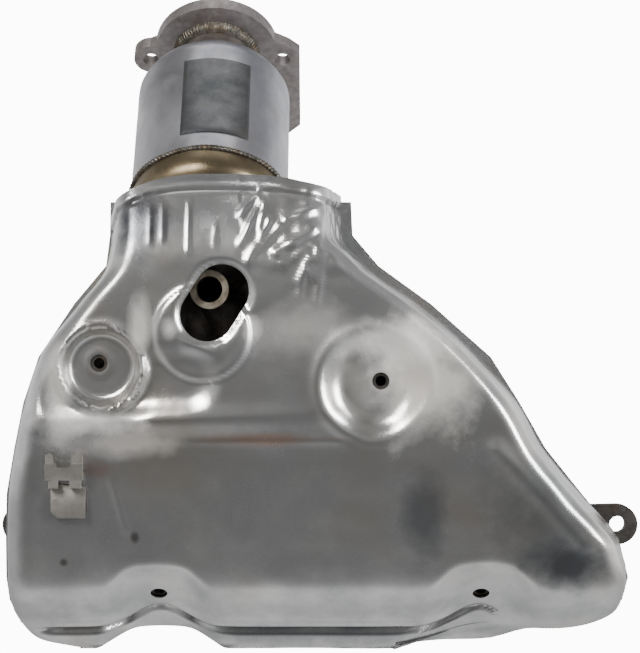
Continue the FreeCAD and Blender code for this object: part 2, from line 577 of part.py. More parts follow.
# ---------------------------------------------------------------- rear heat shield
rear = new_body("rear_heat_shield")
outline = new_sketch(rear, "XZ_Plane", "rear_outline", "sizes.ShieldRim - sizes.SheetThickness")
marks = [mark for mark, _, _, _, _ in STATIONS]
levels = []
for index in range(len(marks)):
    rises = "".join(" + sizes.ShieldStep" + mark for mark in marks[index:SHOULDER])
    drops = "".join(" - sizes.ShieldStep" + mark for mark in marks[SHOULDER + 1:index + 1])
    levels.append("sizes.ShieldShoulder" + rises + drops)
used = range(1, 13)
left_points = [("sizes.ShieldLeft" + marks[index], levels[index]) for index in used]
right_points = []
for index in used:
    flange = " + sizes.RearFlange" if index < 6 else ""
    right_points.append(("sizes.ShieldRight" + marks[index] + flange, levels[index]))
draw_polygon(outline, left_points + right_points[::-1])
add_pad(rear, outline, "rear_pad", "sizes.SheetThickness")
mouth = new_sketch(rear, "XZ_Plane", "rear_mouth", "sizes.ShieldRim - sizes.SheetThickness")
reach = "sizes.CanOuter / 2 + sizes.CanClearance"
chamber_z = "sizes.CanZ - sizes.CollectorDrop * cos(sizes.CanTilt * 1deg)"
draw_polygon(mouth, [
    ("sizes.CanX - (%s)" % reach, levels[0] + " + 20"), ("sizes.CanX - (%s)" % reach, chamber_z),
    ("sizes.CanX - (%s) * 0.6" % reach, chamber_z + " - (%s) * 0.9" % reach),
    ("sizes.CanX + (%s) * 0.6" % reach, chamber_z + " - (%s) * 0.9" % reach),
    ("sizes.CanX + (%s)" % reach, chamber_z), ("sizes.CanX + (%s)" % reach, levels[0] + " + 20"),
])
add_pocket(rear, mouth, "rear_mouth_pocket")
for index, word in enumerate(NUMBERS):
    passage = new_sketch(rear, "XZ_Plane", "tube_passage_%d" % (index + 1),
                         "sizes.ShieldRim - sizes.SheetThickness")
    port_x = PORTS[index] * size("PortSpacing")
    way = runner_way[word]
    radius = size("TubeOuter") / 2 + size("TubeClearance")
    near = Vector(port_x, 0, 0) + Vector(way.x, way.z, 0) * 3.5
    far = Vector(port_x, 0, 0) + Vector(way.x, way.z, 0) * (size("RunnerBend") - 27.5)
    across = Vector(-way.z, way.x, 0) * radius
    heading = math.atan2(way.z, way.x)
    far_arc = Part.Circle(far, Vector(0, 0, 1), radius)
    near_arc = Part.Circle(near, Vector(0, 0, 1), radius)
    passage.addGeometry(Part.ArcOfCircle(far_arc, heading - math.pi / 2, heading + math.pi / 2), False)
    passage.addGeometry(Part.LineSegment(far + across, near + across), False)
    passage.addGeometry(Part.ArcOfCircle(near_arc, heading + math.pi / 2, heading + 1.5 * math.pi), False)
    passage.addGeometry(Part.LineSegment(near - across, far - across), False)
    passage.addConstraint(Sketcher.Constraint("Tangent", 0, 2, 1, 1))
    passage.addConstraint(Sketcher.Constraint("Tangent", 1, 2, 2, 1))
    passage.addConstraint(Sketcher.Constraint("Tangent", 2, 2, 3, 1))
    passage.addConstraint(Sketcher.Constraint("Tangent", 3, 2, 0, 1))
    limit = passage.addConstraint(Sketcher.Constraint("Radius", 0, radius))
    passage.setExpression("Constraints[%d]" % limit, "sizes.TubeOuter / 2 + sizes.TubeClearance")
    add_pocket(rear, passage, "tube_passage_%d_pocket" % (index + 1))
for side, sign in (("left", "-"), ("right", "")):
    slot = new_sketch(rear, "XZ_Plane", side + "_bracket_slot", "sizes.ShieldRim - sizes.SheetThickness")
    half = "(sizes.BracketWidth / 2 + sizes.TubeClearance)"
    low = "-sizes.BracketArmZ - sizes.TubeClearance"
    high = "-sizes.BracketArmZ + sizes.BracketThickness + sizes.TubeClearance"
    draw_polygon(slot, [
        (sign + "sizes.ScallopX - " + half, low), (sign + "sizes.ScallopX + " + half, low),
        (sign + "sizes.ScallopX + " + half, high), (sign + "sizes.ScallopX - " + half, high),
    ])
    add_pocket(rear, slot, side + "_bracket_slot_pocket")

# ---------------------------------------------------------------- shield fixings
seat_depth = "(sizes.ShieldFront - sizes.DishDepth - sizes.SheetThickness)"


def seat_y(back=0.0):
    return back - (size("ShieldFront") - size("DishDepth") - sheet_thickness)


toward_back = Rotation(Vector(0, 0, 1), Vector(0, 1, 0))
post = doc.addObject("Part::Cylinder", "right_boss_post")
post.setExpression("Radius", "sizes.BossDiameter / 2")
post.setExpression("Height", seat_depth + " - " + RUNNER_PLANE)
post.Placement = Placement(Vector(size("RightHoleX"), seat_y(), size("RightHoleZ")), toward_back)
thread = doc.addObject("Part::Cylinder", "right_boss_thread")
thread.setExpression("Radius", "sizes.BossThread / 2")
thread.setExpression("Height", "sizes.BossDepth")
thread.Placement = Placement(Vector(size("RightHoleX"), seat_y(), size("RightHoleZ")), toward_back)
tube_four = doc.addObject("Part::Cylinder", "right_boss_tube")
tube_four.setExpression("Radius", "sizes.TubeOuter / 2")
tube_four.Height = runner_run["Four"]
way = runner_way["Four"]
tube_four.Placement = Placement(
    Vector(1.5 * size("PortSpacing"), -runner_plane, 0), Rotation(Vector(0, 0, 1), way))
cuts = doc.addObject("Part::MultiFuse", "right_boss_cuts")
cuts.Shapes = [thread, tube_four]
right_boss = doc.addObject("Part::Cut", "right_shield_boss")
right_boss.Base = post
right_boss.Tool = cuts

left_edge = size("LeftHoleX") - size("LeftBracketWidth") / 2
strip = size("BracketThickness")
base_z = size("LeftHoleZ") - size("LeftBracketWidth") / 2
step = size("LeftBracketWidth") + strip
blocks = []
for name, x, y, length, width in (
        ("left_bracket_seat", left_edge, seat_y(), "sizes.LeftBracketWidth + sizes.BracketThickness",
         "sizes.BracketThickness"),
        ("left_bracket_leg", left_edge + step - strip, seat_y(), "sizes.BracketThickness",
         seat_depth + " - " + RUNNER_PLANE + " + sizes.BracketThickness"),
        ("left_bracket_foot", left_edge + step - strip, -runner_plane, "24", "sizes.BracketThickness")):
    block = doc.addObject("Part::Box", name)
    block.setExpression("Length", length)
    block.setExpression("Width", width)
    block.setExpression("Height", "sizes.LeftBracketWidth")
    block.Placement = Placement(Vector(x, y, base_z), Rotation())
    blocks.append(block)
left_raw = doc.addObject("Part::MultiFuse", "left_bracket_blank")
left_raw.Shapes = blocks
left_hole = doc.addObject("Part::Cylinder", "left_bracket_hole")
left_hole.setExpression("Radius", "sizes.BossThread / 2")
left_hole.setExpression("Height", "sizes.BracketThickness * 2")
left_hole.Placement = Placement(Vector(size("LeftHoleX"), seat_y(-1.0), size("LeftHoleZ")), toward_back)
left_cuts = doc.addObject("Part::MultiFuse", "left_bracket_cuts")
left_cuts.Shapes = [shells["outer"], left_hole]
left_bracket = doc.addObject("Part::Cut", "left_shield_bracket")
left_bracket.Base = left_raw
left_bracket.Tool = left_cuts

cosine = "cos(sizes.ScallopAngle * 1deg)"
sine = "sin(sizes.ScallopAngle * 1deg)"
seat_line_y = "(-sizes.ScallopHoleY + sizes.SheetThickness * %s)" % sine
seat_line_z = "(-sizes.ScallopHoleZ + sizes.SheetThickness * %s)" % cosine
top_line_y = "(-sizes.ScallopHoleY + (sizes.SheetThickness + sizes.BracketThickness) * %s)" % sine
top_line_z = "(-sizes.ScallopHoleZ + (sizes.SheetThickness + sizes.BracketThickness) * %s)" % cosine
arm_low = "-sizes.BracketArmZ"
arm_high = "(-sizes.BracketArmZ + sizes.BracketThickness)"
foot_y = "-sizes.FlangeThickness"
for side, sign in (("left", "-"), ("right", "")):
    blank = new_body("lower_%s_bracket_blank" % side)
    profile = new_sketch(blank, "YZ_Plane", "lower_%s_profile" % side,
                         sign + "sizes.ScallopX - sizes.BracketWidth / 2")
    draw_polygon(profile, [
        (foot_y, "-sizes.BracketFootZ"), (foot_y + " - sizes.BracketThickness", "-sizes.BracketFootZ"),
        (foot_y + " - sizes.BracketThickness", arm_high),
        ("%s + (%s - %s) / tan(sizes.ScallopAngle * 1deg)" % (top_line_y, top_line_z, arm_high), arm_high),
        ("%s - sizes.BracketSeat * %s" % (top_line_y, cosine), "%s + sizes.BracketSeat * %s" % (top_line_z, sine)),
        ("%s - sizes.BracketSeat * %s" % (seat_line_y, cosine), "%s + sizes.BracketSeat * %s" % (seat_line_z, sine)),
        ("%s + (%s + sizes.BracketArmZ) / tan(sizes.ScallopAngle * 1deg)" % (seat_line_y, seat_line_z), arm_low),
        (foot_y, arm_low),
    ])
    add_pad(blank, profile, "lower_%s_pad" % side, "sizes.BracketWidth")
    drilling = doc.addObject("Part::Cylinder", "lower_%s_hole" % side)
    drilling.setExpression("Radius", "sizes.BossThread / 2")
    drilling.Height = 24.0
    x = size("ScallopX") * (-1 if side == "left" else 1)
    middle_point = Vector(x, -size("ScallopHoleY"), -size("ScallopHoleZ")) + scallop_out * 12.0
    drilling.Placement = Placement(middle_point, Rotation(Vector(0, 0, 1), scallop_out * -1))
    fixing = doc.addObject("Part::Cut", "lower_%s_shield_bracket" % side)
    fixing.Base = blank
    fixing.Tool = drilling

# ---------------------------------------------------------------- harness clip
clip = new_body("harness_clip")
clip_side = new_sketch(clip, "YZ_Plane", "clip_side")
draw_polygon(clip_side, [
    ("0", "0"), ("0", "sizes.ClipBase"), ("-sizes.ClipStand", "sizes.ClipBase + sizes.ClipStand * 0.6"),
    ("-sizes.ClipStand", "sizes.ClipBase + sizes.ClipRise"),
    ("-sizes.ClipStand - sizes.ClipSheet", "sizes.ClipBase + sizes.ClipRise"),
    ("-sizes.ClipStand - sizes.ClipSheet", "sizes.ClipBase + sizes.ClipStand * 0.6 - sizes.ClipSheet * 0.7"),
    ("-sizes.ClipSheet", "sizes.ClipBase - sizes.ClipSheet * 0.7"), ("-sizes.ClipSheet", "0"),
])
add_pad(clip, clip_side, "clip_pad", "sizes.ClipWidth")
clip_gap = new_sketch(clip, "XZ_Plane", "clip_gap")
gap_side = "sizes.ClipWidth / 2 - sizes.ClipGap / 2"
gap_low = "sizes.ClipBase + sizes.ClipRise - sizes.ClipProng"
draw_polygon(clip_gap, [
    (gap_side, gap_low), (gap_side + " + sizes.ClipGap", gap_low),
    (gap_side + " + sizes.ClipGap", gap_low + " + 20"), (gap_side, gap_low + " + 20"),
])
add_pocket(clip, clip_gap, "clip_gap_pocket")
upper_station = stations[7]
lower_station = stations[8]
fall = (lower_station[3] - upper_station[3]) / (upper_station[0] - lower_station[0])
clip_height = size("ClipZ")
clip_y = lower_station[3] + (lower_station[0] - clip_height) * fall
clip.Placement = Placement(
    Vector(size("ClipX") - size("ClipWidth") / 2, clip_y - 0.1, clip_height),
    Rotation(Vector(1, 0, 0), math.degrees(math.atan(fall))))

doc.recompute()

NODES = [
    "head_flange", "runner_1", "runner_2", "runner_3", "runner_4", "collector", "inlet_cone",
    "can_shell", "can_weld_bead", "can_plate", "catalyst_substrate", "lower_mat_seal", "support_mat",
    "upper_mat_seal", "outlet_cone", "outlet_pipe", "outlet_weld_bead", "outlet_flange",
    "oxygen_sensor_bung", "front_heat_shield", "rear_heat_shield", "right_shield_boss",
    "left_shield_bracket", "lower_left_shield_bracket", "lower_right_shield_bracket", "harness_clip",
]
for item in doc.Objects:
    if "Invalid" in item.State or "Error" in item.State:
        raise RuntimeError("%s did not compute" % item.Label)
for name in NODES:
    shape = doc.getObject(name).Shape
    if shape.isNull() or not shape.isValid():
        raise RuntimeError("%s has no valid shape" % name)
    if len(shape.Solids) != 1:
        raise RuntimeError("%s is %d solids" % (name, len(shape.Solids)))
os.makedirs("parts", exist_ok=True)
for name in NODES:
    doc.getObject(name).Shape.exportStep("parts/%s.step" % name)
    print(name, round(doc.getObject(name).Shape.Volume / 1000, 2), "cm3")
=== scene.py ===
import math
from collections import namedtuple

import bmesh
import bpy
import numpy as np
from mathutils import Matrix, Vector, noise


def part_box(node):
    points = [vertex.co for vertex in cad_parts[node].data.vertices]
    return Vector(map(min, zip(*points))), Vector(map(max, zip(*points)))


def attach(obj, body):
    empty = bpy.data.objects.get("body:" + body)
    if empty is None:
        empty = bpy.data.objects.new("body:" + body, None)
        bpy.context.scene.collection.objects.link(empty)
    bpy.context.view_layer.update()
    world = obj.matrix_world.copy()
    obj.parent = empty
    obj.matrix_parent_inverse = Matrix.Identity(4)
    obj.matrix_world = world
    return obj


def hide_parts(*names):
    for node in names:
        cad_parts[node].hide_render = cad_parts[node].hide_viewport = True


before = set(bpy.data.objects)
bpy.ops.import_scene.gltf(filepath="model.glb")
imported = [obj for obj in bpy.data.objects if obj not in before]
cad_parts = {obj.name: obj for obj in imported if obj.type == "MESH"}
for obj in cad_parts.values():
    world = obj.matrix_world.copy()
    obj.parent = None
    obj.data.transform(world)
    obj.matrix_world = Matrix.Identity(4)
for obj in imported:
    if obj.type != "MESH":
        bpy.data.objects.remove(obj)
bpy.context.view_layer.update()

# The looks of a four-cylinder exhaust manifold with its catalytic converter and pressed heat shield, dressed
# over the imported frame. The object's lengths are in mm and are scaled by MM as each mesh is made. The stage,
# lamps and camera are in metres.
MM = 0.001


# ------------------------------------------------------------------ materials
# A spot tints the metal softly around a place, for a stain or for painted light or shade: its centre and half
# sizes in mm, its colour, and the most of that colour that it lays on. Its last field is the share of the
# metallic look that it takes away, so that a painted highlight shows pale.
Spot = namedtuple("Spot", "centre reach tint share deposit", defaults=(0.0,))

INLET_SPOTS = (
    Spot((-60, -72, 205), (32, 40, 9), (0.03, 0.028, 0.06), 0.9),        # blue heat tint
    Spot((-97, -66, 207), (18, 40, 13), (0.36, 0.23, 0.08), 0.65),       # straw heat tint
)
# Painted light on the can.
CAN_PAINTED_LIGHT = (
    Spot((-104, -70, 285), (26, 60, 50), (0.74, 0.735, 0.78), 0.8),      # painted light on the can's left flank
)
# Heat stains and nicks on the shield, and painted highlights, painted shade and painted dark reflections.
SHIELD_STAINS_AND_PAINTED_LIGHT = (
    # rust-red heat stains
    Spot((-38, -115, 80), (62, 30, 5), (0.62, 0.36, 0.24), 0.55),
    Spot((-139, -112, 60), (12, 30, 8), (0.55, 0.33, 0.25), 0.5),
    # dark patches low on the right; the outer one is a painted dark reflection
    Spot((66, -110, 32), (16, 40, 36), (0.17, 0.18, 0.20), 0.6),
    Spot((155, -105, 0), (32, 50, 18), (0.10, 0.11, 0.13), 0.8),
    # painted highlights: pale patches round the dishes and on the shoulders, where the sheet catches the light
    Spot((66, -115, 120), (46, 40, 46), (0.80, 0.75, 0.67), 0.75, 0.6),
    Spot((-142, -108, 91), (36, 40, 9), (0.97, 0.94, 0.90), 0.95, 0.5),
    Spot((-163, -100, 112), (9, 40, 32), (0.84, 0.81, 0.75), 0.7, 0.5),
    Spot((-112, -115, 148), (9, 30, 24), (0.84, 0.82, 0.76), 0.7, 0.5),
    Spot((-93, -115, 149), (7, 30, 8), (0.86, 0.84, 0.80), 0.7, 0.5),
    Spot((-42, -115, 150), (7, 30, 10), (0.88, 0.86, 0.80), 0.7, 0.5),
    Spot((-12, -115, 150), (40, 30, 24), (0.66, 0.64, 0.60), 0.5, 0.3),
    Spot((-118, -112, 78), (48, 30, 13), (0.84, 0.79, 0.73), 0.45, 0.3),
    # a painted dark reflection on the right, and two small nicks on the left
    Spot((140, -105, 30), (46, 60, 46), (0.20, 0.21, 0.21), 0.5),
    Spot((-116, -103, 18), (3, 30, 4), (0.12, 0.10, 0.08), 0.7),
    Spot((-161, -100, 2), (3, 30, 3), (0.12, 0.10, 0.08), 0.7),
    # painted shade on the neck and lip
    Spot((-110, -105, 214), (28, 50, 24), (0.10, 0.105, 0.12), 0.95),
    Spot((-61, -100, 243), (90, 60, 6), (0.30, 0.31, 0.33), 0.6),
    Spot((-66, -110, 220), (50, 40, 18), (0.30, 0.31, 0.32), 0.45),
    # painted shade on the foot and along its groove
    Spot((0, -70, -50), (200, 60, 9), (0.22, 0.23, 0.25), 0.6),
    Spot((0, -80, -30), (200, 60, 9), (0.40, 0.40, 0.41), 0.35),
    Spot((-172, -80, -34), (34, 60, 13), (0.36, 0.36, 0.37), 0.6),
    # painted highlights above the right dish and on its floor
    Spot((50, -115, 141), (40, 40, 18), (0.95, 0.93, 0.89), 0.7, 0.4),
    Spot((33, -106, 112), (26, 30, 26), (0.88, 0.85, 0.80), 0.35, 0.25),
)

# Each finish: its two mottled colours, its roughness from light to dark mottle, its metallic share, the scale
# of the mottle and of the grain, the strength of its relief, and the stain that lies on it in patches.
FINISHES = {
    "flange_steel": dict(
        dark=(0.28, 0.255, 0.25), light=(0.42, 0.385, 0.375), rough=(0.40, 0.55), metallic=0.9,
        scale=150.0, bump=0.25, grain=700.0, stain=(0.16, 0.12, 0.09)),
    "head_steel": dict(
        dark=(0.05, 0.046, 0.042), light=(0.10, 0.092, 0.084), rough=(0.5, 0.7), metallic=0.85,
        scale=140.0, bump=0.3, grain=700.0, stain=(0.14, 0.08, 0.045)),
    "tube_steel": dict(
        dark=(0.10, 0.09, 0.085), light=(0.24, 0.21, 0.19), rough=(0.45, 0.65), metallic=0.85,
        scale=60.0, bump=0.2, grain=800.0, stain=(0.13, 0.085, 0.05)),
    "tinted_steel": dict(
        dark=(0.13, 0.10, 0.065), light=(0.26, 0.21, 0.13), rough=(0.25, 0.42), metallic=0.95,
        scale=45.0, bump=0.12, grain=900.0, stain=(0.07, 0.065, 0.09), stain_share=0.7,
        spots=INLET_SPOTS),
    "plate_steel": dict(
        dark=(0.11, 0.115, 0.12), light=(0.19, 0.195, 0.20), rough=(0.30, 0.42), metallic=0.95,
        scale=60.0, bump=0.12, grain=1000.0, stain=(0.20, 0.17, 0.13), stain_share=0.4),
    "can_steel": dict(
        dark=(0.34, 0.345, 0.395), light=(0.55, 0.545, 0.565), rough=(0.24, 0.38), metallic=0.95,
        scale=30.0, bump=0.12, grain=1000.0, stain=(0.25, 0.21, 0.17), spots=CAN_PAINTED_LIGHT),
    "weld_steel": dict(
        dark=(0.055, 0.05, 0.042), light=(0.17, 0.155, 0.13), rough=(0.35, 0.55), metallic=0.9,
        scale=220.0, bump=0.35, grain=900.0, stain=(0.12, 0.07, 0.03), stain_share=0.5),
    "ceramic": dict(
        dark=(0.45, 0.42, 0.36), light=(0.58, 0.55, 0.48), rough=(0.85, 0.95), metallic=0.0,
        scale=120.0, bump=0.3, grain=1200.0),
    "fibre": dict(
        dark=(0.55, 0.53, 0.49), light=(0.70, 0.68, 0.63), rough=(0.9, 1.0), metallic=0.0,
        scale=200.0, bump=0.5, grain=1500.0),
    "zinc_steel": dict(
        dark=(0.16, 0.13, 0.09), light=(0.50, 0.45, 0.36), rough=(0.35, 0.5), metallic=0.9,
        scale=130.0, bump=0.2, grain=900.0, stain=(0.10, 0.06, 0.03), stain_share=0.5),
    "shield_steel": dict(
        dark=(0.52, 0.52, 0.52), light=(0.74, 0.73, 0.715), rough=(0.14, 0.30), metallic=0.93,
        scale=30.0, bump=0.10, grain=1100.0, stain=(0.58, 0.50, 0.41), stain_share=0.45,
        spots=SHIELD_STAINS_AND_PAINTED_LIGHT, speck=0.12),
    "bracket_steel": dict(
        dark=(0.05, 0.046, 0.04), light=(0.12, 0.11, 0.10), rough=(0.4, 0.6), metallic=0.9,
        scale=80.0, bump=0.2, grain=800.0, stain=(0.16, 0.09, 0.04)),
    "clip_steel": dict(
        dark=(0.36, 0.34, 0.31), light=(0.62, 0.59, 0.54), rough=(0.3, 0.45), metallic=0.9,
        scale=90.0, bump=0.12, grain=900.0, stain=(0.30, 0.20, 0.16), stain_share=0.3),
}
RELIEF_DEPTH = 0.0006       # metres
RAGGED = 0.35               # how far the mottle breaks up a spot's edge, as a share of its reach


def material(name, dark, light, rough, metallic, scale, bump, grain,
             stain=None, stain_share=0.35, spots=(), speck=0.2):
    """Worn metal: a mottle of two colours that roughness follows, fine grain, and a stain in patches."""
    made = bpy.data.materials.new(name)
    made.use_nodes = True
    nodes, links = made.node_tree.nodes, made.node_tree.links
    shader = nodes["Principled BSDF"]
    shader.inputs["Metallic"].default_value = metallic
    place = nodes.new("ShaderNodeTexCoord").outputs["Object"]

    def cloud(size, detail=6.0, roughness=0.6):
        texture = nodes.new("ShaderNodeTexNoise")
        texture.inputs["Scale"].default_value = size
        texture.inputs["Detail"].default_value = detail
        texture.inputs["Roughness"].default_value = roughness
        links.new(place, texture.inputs["Vector"])
        return texture.outputs["Fac"]

    def spread(value, low, high, to_low=0.0, to_high=1.0):
        node = nodes.new("ShaderNodeMapRange")
        node.inputs["From Min"].default_value = low
        node.inputs["From Max"].default_value = high
        node.inputs["To Min"].default_value = to_low
        node.inputs["To Max"].default_value = to_high
        links.new(value, node.inputs["Value"])
        return node.outputs["Result"]

    def mix(factor, a, b):
        node = nodes.new("ShaderNodeMix")
        node.data_type = "RGBA"
        links.new(factor, node.inputs[0])
        for socket, value in ((node.inputs[6], a), (node.inputs[7], b)):
            if isinstance(value, tuple):
                socket.default_value = value + (1.0,)
            else:
                links.new(value, socket)
        return node.outputs[2]

    def vector_math(operation, first, second):
        node = nodes.new("ShaderNodeVectorMath")
        node.operation = operation
        links.new(first, node.inputs[0])
        node.inputs[1].default_value = tuple(length * MM for length in second)
        return node.outputs["Vector"]

    def join(operation, first, second):
        node = nodes.new("ShaderNodeMath")
        node.operation = operation
        links.new(first, node.inputs[0])
        links.new(second, node.inputs[1])
        return node.outputs["Value"]

    mottle = cloud(scale)
    fine = cloud(grain, 3.0, 0.7)
    colour = mix(spread(mottle, 0.35, 0.65), dark, light)
    colour = mix(spread(fine, 0.35, 0.75, 0.0, speck), colour, tuple(0.55 * c for c in dark))
    if stain:
        patch = cloud(scale * 0.45, 4.0, 0.55)
        colour = mix(spread(patch, 0.52, 0.68, 0.0, stain_share), colour, stain)

    # Spots lay stains, and painted highlights, shade and dark reflections, on the colour.
    metal_left = None
    for spot in spots:
        scaled = vector_math("DIVIDE", vector_math("SUBTRACT", place, spot.centre), spot.reach)
        distance = nodes.new("ShaderNodeVectorMath")
        distance.operation = "LENGTH"
        links.new(scaled, distance.inputs[0])
        ragged = join("ADD", distance.outputs["Value"], spread(mottle, 0.3, 0.7, -RAGGED, RAGGED))
        colour = mix(spread(ragged, 0.25, 1.0, spot.share, 0.0), colour, spot.tint)
        # at a painted highlight, some of the metallic look is taken away so the patch shows pale
        if spot.deposit:
            keep = spread(ragged, 0.25, 1.0, 1.0 - spot.deposit, 1.0)
            if metal_left is None:
                metal_left = spread(keep, 0.0, 1.0, 0.0, metallic)
            else:
                metal_left = join("MULTIPLY", metal_left, keep)
    if metal_left is not None:
        links.new(metal_left, shader.inputs["Metallic"])

    links.new(colour, shader.inputs["Base Color"])
    links.new(spread(mottle, 0.3, 0.7, rough[1], rough[0]), shader.inputs["Roughness"])
    relief = nodes.new("ShaderNodeBump")
    relief.inputs["Strength"].default_value = bump
    relief.inputs["Distance"].default_value = RELIEF_DEPTH
    links.new(join("ADD", mottle, fine), relief.inputs["Height"])
    links.new(relief.outputs["Normal"], shader.inputs["Normal"])
    return made


MATERIALS = {name: material(name, **look) for name, look in FINISHES.items()}
SLOT_NODES = {
    "flange_steel": ("head_flange", "outlet_flange"),
    "tube_steel": ("runner_1", "runner_2", "runner_3", "runner_4", "collector", "outlet_pipe"),
    "tinted_steel": ("inlet_cone",),
    "can_steel": ("can_shell", "can_plate", "outlet_cone"),
    "weld_steel": ("can_weld_bead", "outlet_weld_bead"),
    "ceramic": ("catalyst_substrate",),
    "fibre": ("lower_mat_seal", "support_mat", "upper_mat_seal"),
    "zinc_steel": ("oxygen_sensor_bung",),
    "shield_steel": ("front_heat_shield", "rear_heat_shield"),
    "bracket_steel": ("right_shield_boss", "left_shield_bracket", "lower_left_shield_bracket",
                      "lower_right_shield_bracket"),
    "clip_steel": ("harness_clip",),
}
SLOTS = {node: slot for slot, nodes in SLOT_NODES.items() for node in nodes}
# The head flange looks darker than the rest of its slot.
CAD_FINISHES = dict(SLOTS, head_flange="head_steel")

for node_name, cad_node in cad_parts.items():
    cad_node.data.materials.clear()
    cad_node.data.materials.append(MATERIALS[CAD_FINISHES[node_name]])


# ------------------------------------------------------------------ mesh helpers
def closed_mesh(name, points, faces):
    """A mesh in metres from points in mm, with every face turned outwards."""
    mesh = bpy.data.meshes.new(name)
    mesh.from_pydata([tuple(p) for p in np.asarray(points) * MM], [], faces)
    mesh.validate()
    work = bmesh.new()
    work.from_mesh(mesh)
    bmesh.ops.recalc_face_normals(work, faces=work.faces)
    if work.calc_volume(signed=True) < 0:
        bmesh.ops.reverse_faces(work, faces=work.faces)
    work.to_mesh(mesh)
    work.free()
    return mesh


def cut_hole(made, cutter_points, cutter_faces):
    """Takes a closed cutter out of an object's mesh."""
    tool_mesh = closed_mesh("cutter", cutter_points, cutter_faces)
    tool = bpy.data.objects.new("cutter", tool_mesh)
    bpy.context.scene.collection.objects.link(tool)
    cut = made.modifiers.new("cut", "BOOLEAN")
    cut.operation = "DIFFERENCE"
    cut.solver = "EXACT"
    cut.object = tool
    bpy.context.view_layer.update()
    evaluated = made.evaluated_get(bpy.context.evaluated_depsgraph_get())
    done = bpy.data.meshes.new_from_object(evaluated)
    made.modifiers.clear()
    made.data = done
    bpy.data.objects.remove(tool)
    bpy.data.meshes.remove(tool_mesh)


def piece(name, points, faces, node, holes=(), smooth=35.0, finish=None, stands_in=True):
    """A piece from points in mm, with holes cut in it. It stands in for its CAD node, or adds to it, and
    looks like its node's slot unless a finish is named."""
    made = bpy.data.objects.new(name, closed_mesh(name, points, faces))
    bpy.context.scene.collection.objects.link(made)
    for cutter_points, cutter_faces in holes:
        cut_hole(made, cutter_points, cutter_faces)
    made.data.materials.clear()
    made.data.materials.append(MATERIALS[finish or SLOTS[node]])
    made.data.shade_smooth()
    made.data.set_sharp_from_angle(angle=math.radians(smooth))
    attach(made, "root")
    if stands_in:
        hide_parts(node)


def grid_faces(rows, columns, closed=False, start=0, flip=False):
    """Four-sided faces over a grid of points, closed into a tube or left open at its sides."""
    faces = []
    last = columns if closed else columns - 1
    for r in range(rows - 1):
        for c in range(last):
            a, b = start + r * columns + c, start + r * columns + (c + 1) % columns
            quad = (a, b, b + columns, a + columns)
            faces.append(quad[::-1] if flip else quad)
    return faces


def sheet(outer, inner, rows, columns):
    """Points and faces of a closed sheet: an outer grid, an inner grid, and the edge that joins them."""
    total = rows * columns
    faces = grid_faces(rows, columns) + grid_faces(rows, columns, start=total, flip=True)
    first_row = list(range(columns))
    last_column = [r * columns + columns - 1 for r in range(1, rows)]
    last_row = [(rows - 1) * columns + c for c in range(columns - 2, -1, -1)]
    first_column = [r * columns for r in range(rows - 2, 0, -1)]
    edge = first_row + last_column + last_row + first_column
    for a, b in zip(edge, edge[1:] + edge[:1]):
        faces.append((b, a, a + total, b + total))
    return np.concatenate([outer, inner]), faces


def prism(outline, base, along, u, v):
    """A closed prism over an outline in the plane of u and v, from base on by the vector along."""
    base, along, u, v = (np.array(t, float) for t in (base, along, u, v))
    low = [base + u * a + v * b for a, b in outline]
    count = len(low)
    points = low + [p + along for p in low]
    turn = np.dot(np.cross(u, v), along) > 0
    bottom, top = tuple(range(count)), tuple(range(count, 2 * count))
    faces = [bottom[::-1] if turn else bottom, top if turn else top[::-1]]
    for i in range(count):
        j = (i + 1) % count
        quad = (i, j, j + count, i + count)
        faces.append(quad if turn else quad[::-1])
    return points, faces


def circle(radius, centre=(0.0, 0.0), count=40):
    return [(centre[0] + radius * math.cos(2 * math.pi * i / count),
             centre[1] + radius * math.sin(2 * math.pi * i / count)) for i in range(count)]


def wobble(point, size, seed=0.0):
    """Smooth noise, the same on every run, with features of about the size given in mm."""
    return noise.noise(Vector((point[0] / size + seed, point[1] / size - seed, point[2] / size + 2 * seed)))


def smoothstep(low, high, value):
    t = np.clip((np.asarray(value, float) - low) / (high - low), 0.0, 1.0)
    return t * t * (3 - 2 * t)


def within(near, far, value):
    """One up to near, fading to nothing at far."""
    return 1 - smoothstep(near, far, value)


def ridge(distance, width):
    """One on a line and fading evenly to both sides of it."""
    return np.exp(-(distance / width) ** 2)


# ------------------------------------------------------------------ front heat shield
# Sections from the mouth down: the height, the left and right edges at the rim, and the front's depth.
HEIGHTS = [252, 232, 210, 190, 165, 130, 100, 70, 40, 10, -15, -30, -45, -55, -61]
LEFTS = [-137, -137.6, -138.4, -141.5, -160, -185.8, -195.5, -201.5, -206.3, -206.8, -206.5, -204.3,
         -197, -186, -165]
RIGHTS = [15, 14, 15, 32, 66.5, 106, 131.5, 148.5, 172.5, 197, 202.8, 199, 180, 120, 60]
FRONTS = [-94.5, -103.5, -111, -114.5, -115, -115, -115, -114, -110, -105.5, -99.5, -87, -70, -61, -57]
RIM, DRAFT, CORNER, SHEET = -37.0, 0.13, 14.0, 1.0
CORNER_STEPS = 12

ROWS, COLUMNS = 163, 233
PLAIN_ROWS = 133                    # rows down to the foot; the foot's own rows lie closer together
FOOT_FROM, FOOT_TO = -31.5, -61
NECK = 190                          # above this height the rows bend to follow the lip
LIP_CROWN_X, LIP_CROWN = -61.0, 246.0
LIP_LEFT_X, LIP_LEFT_FALL = -137.0, 25.0
LIP_RIGHT_X, LIP_RIGHT_FALL = 45.0, 22.0
LIP_SECTION = 240.0                 # the section whose points set the lip's curve
SECTION_STEP = 2.0

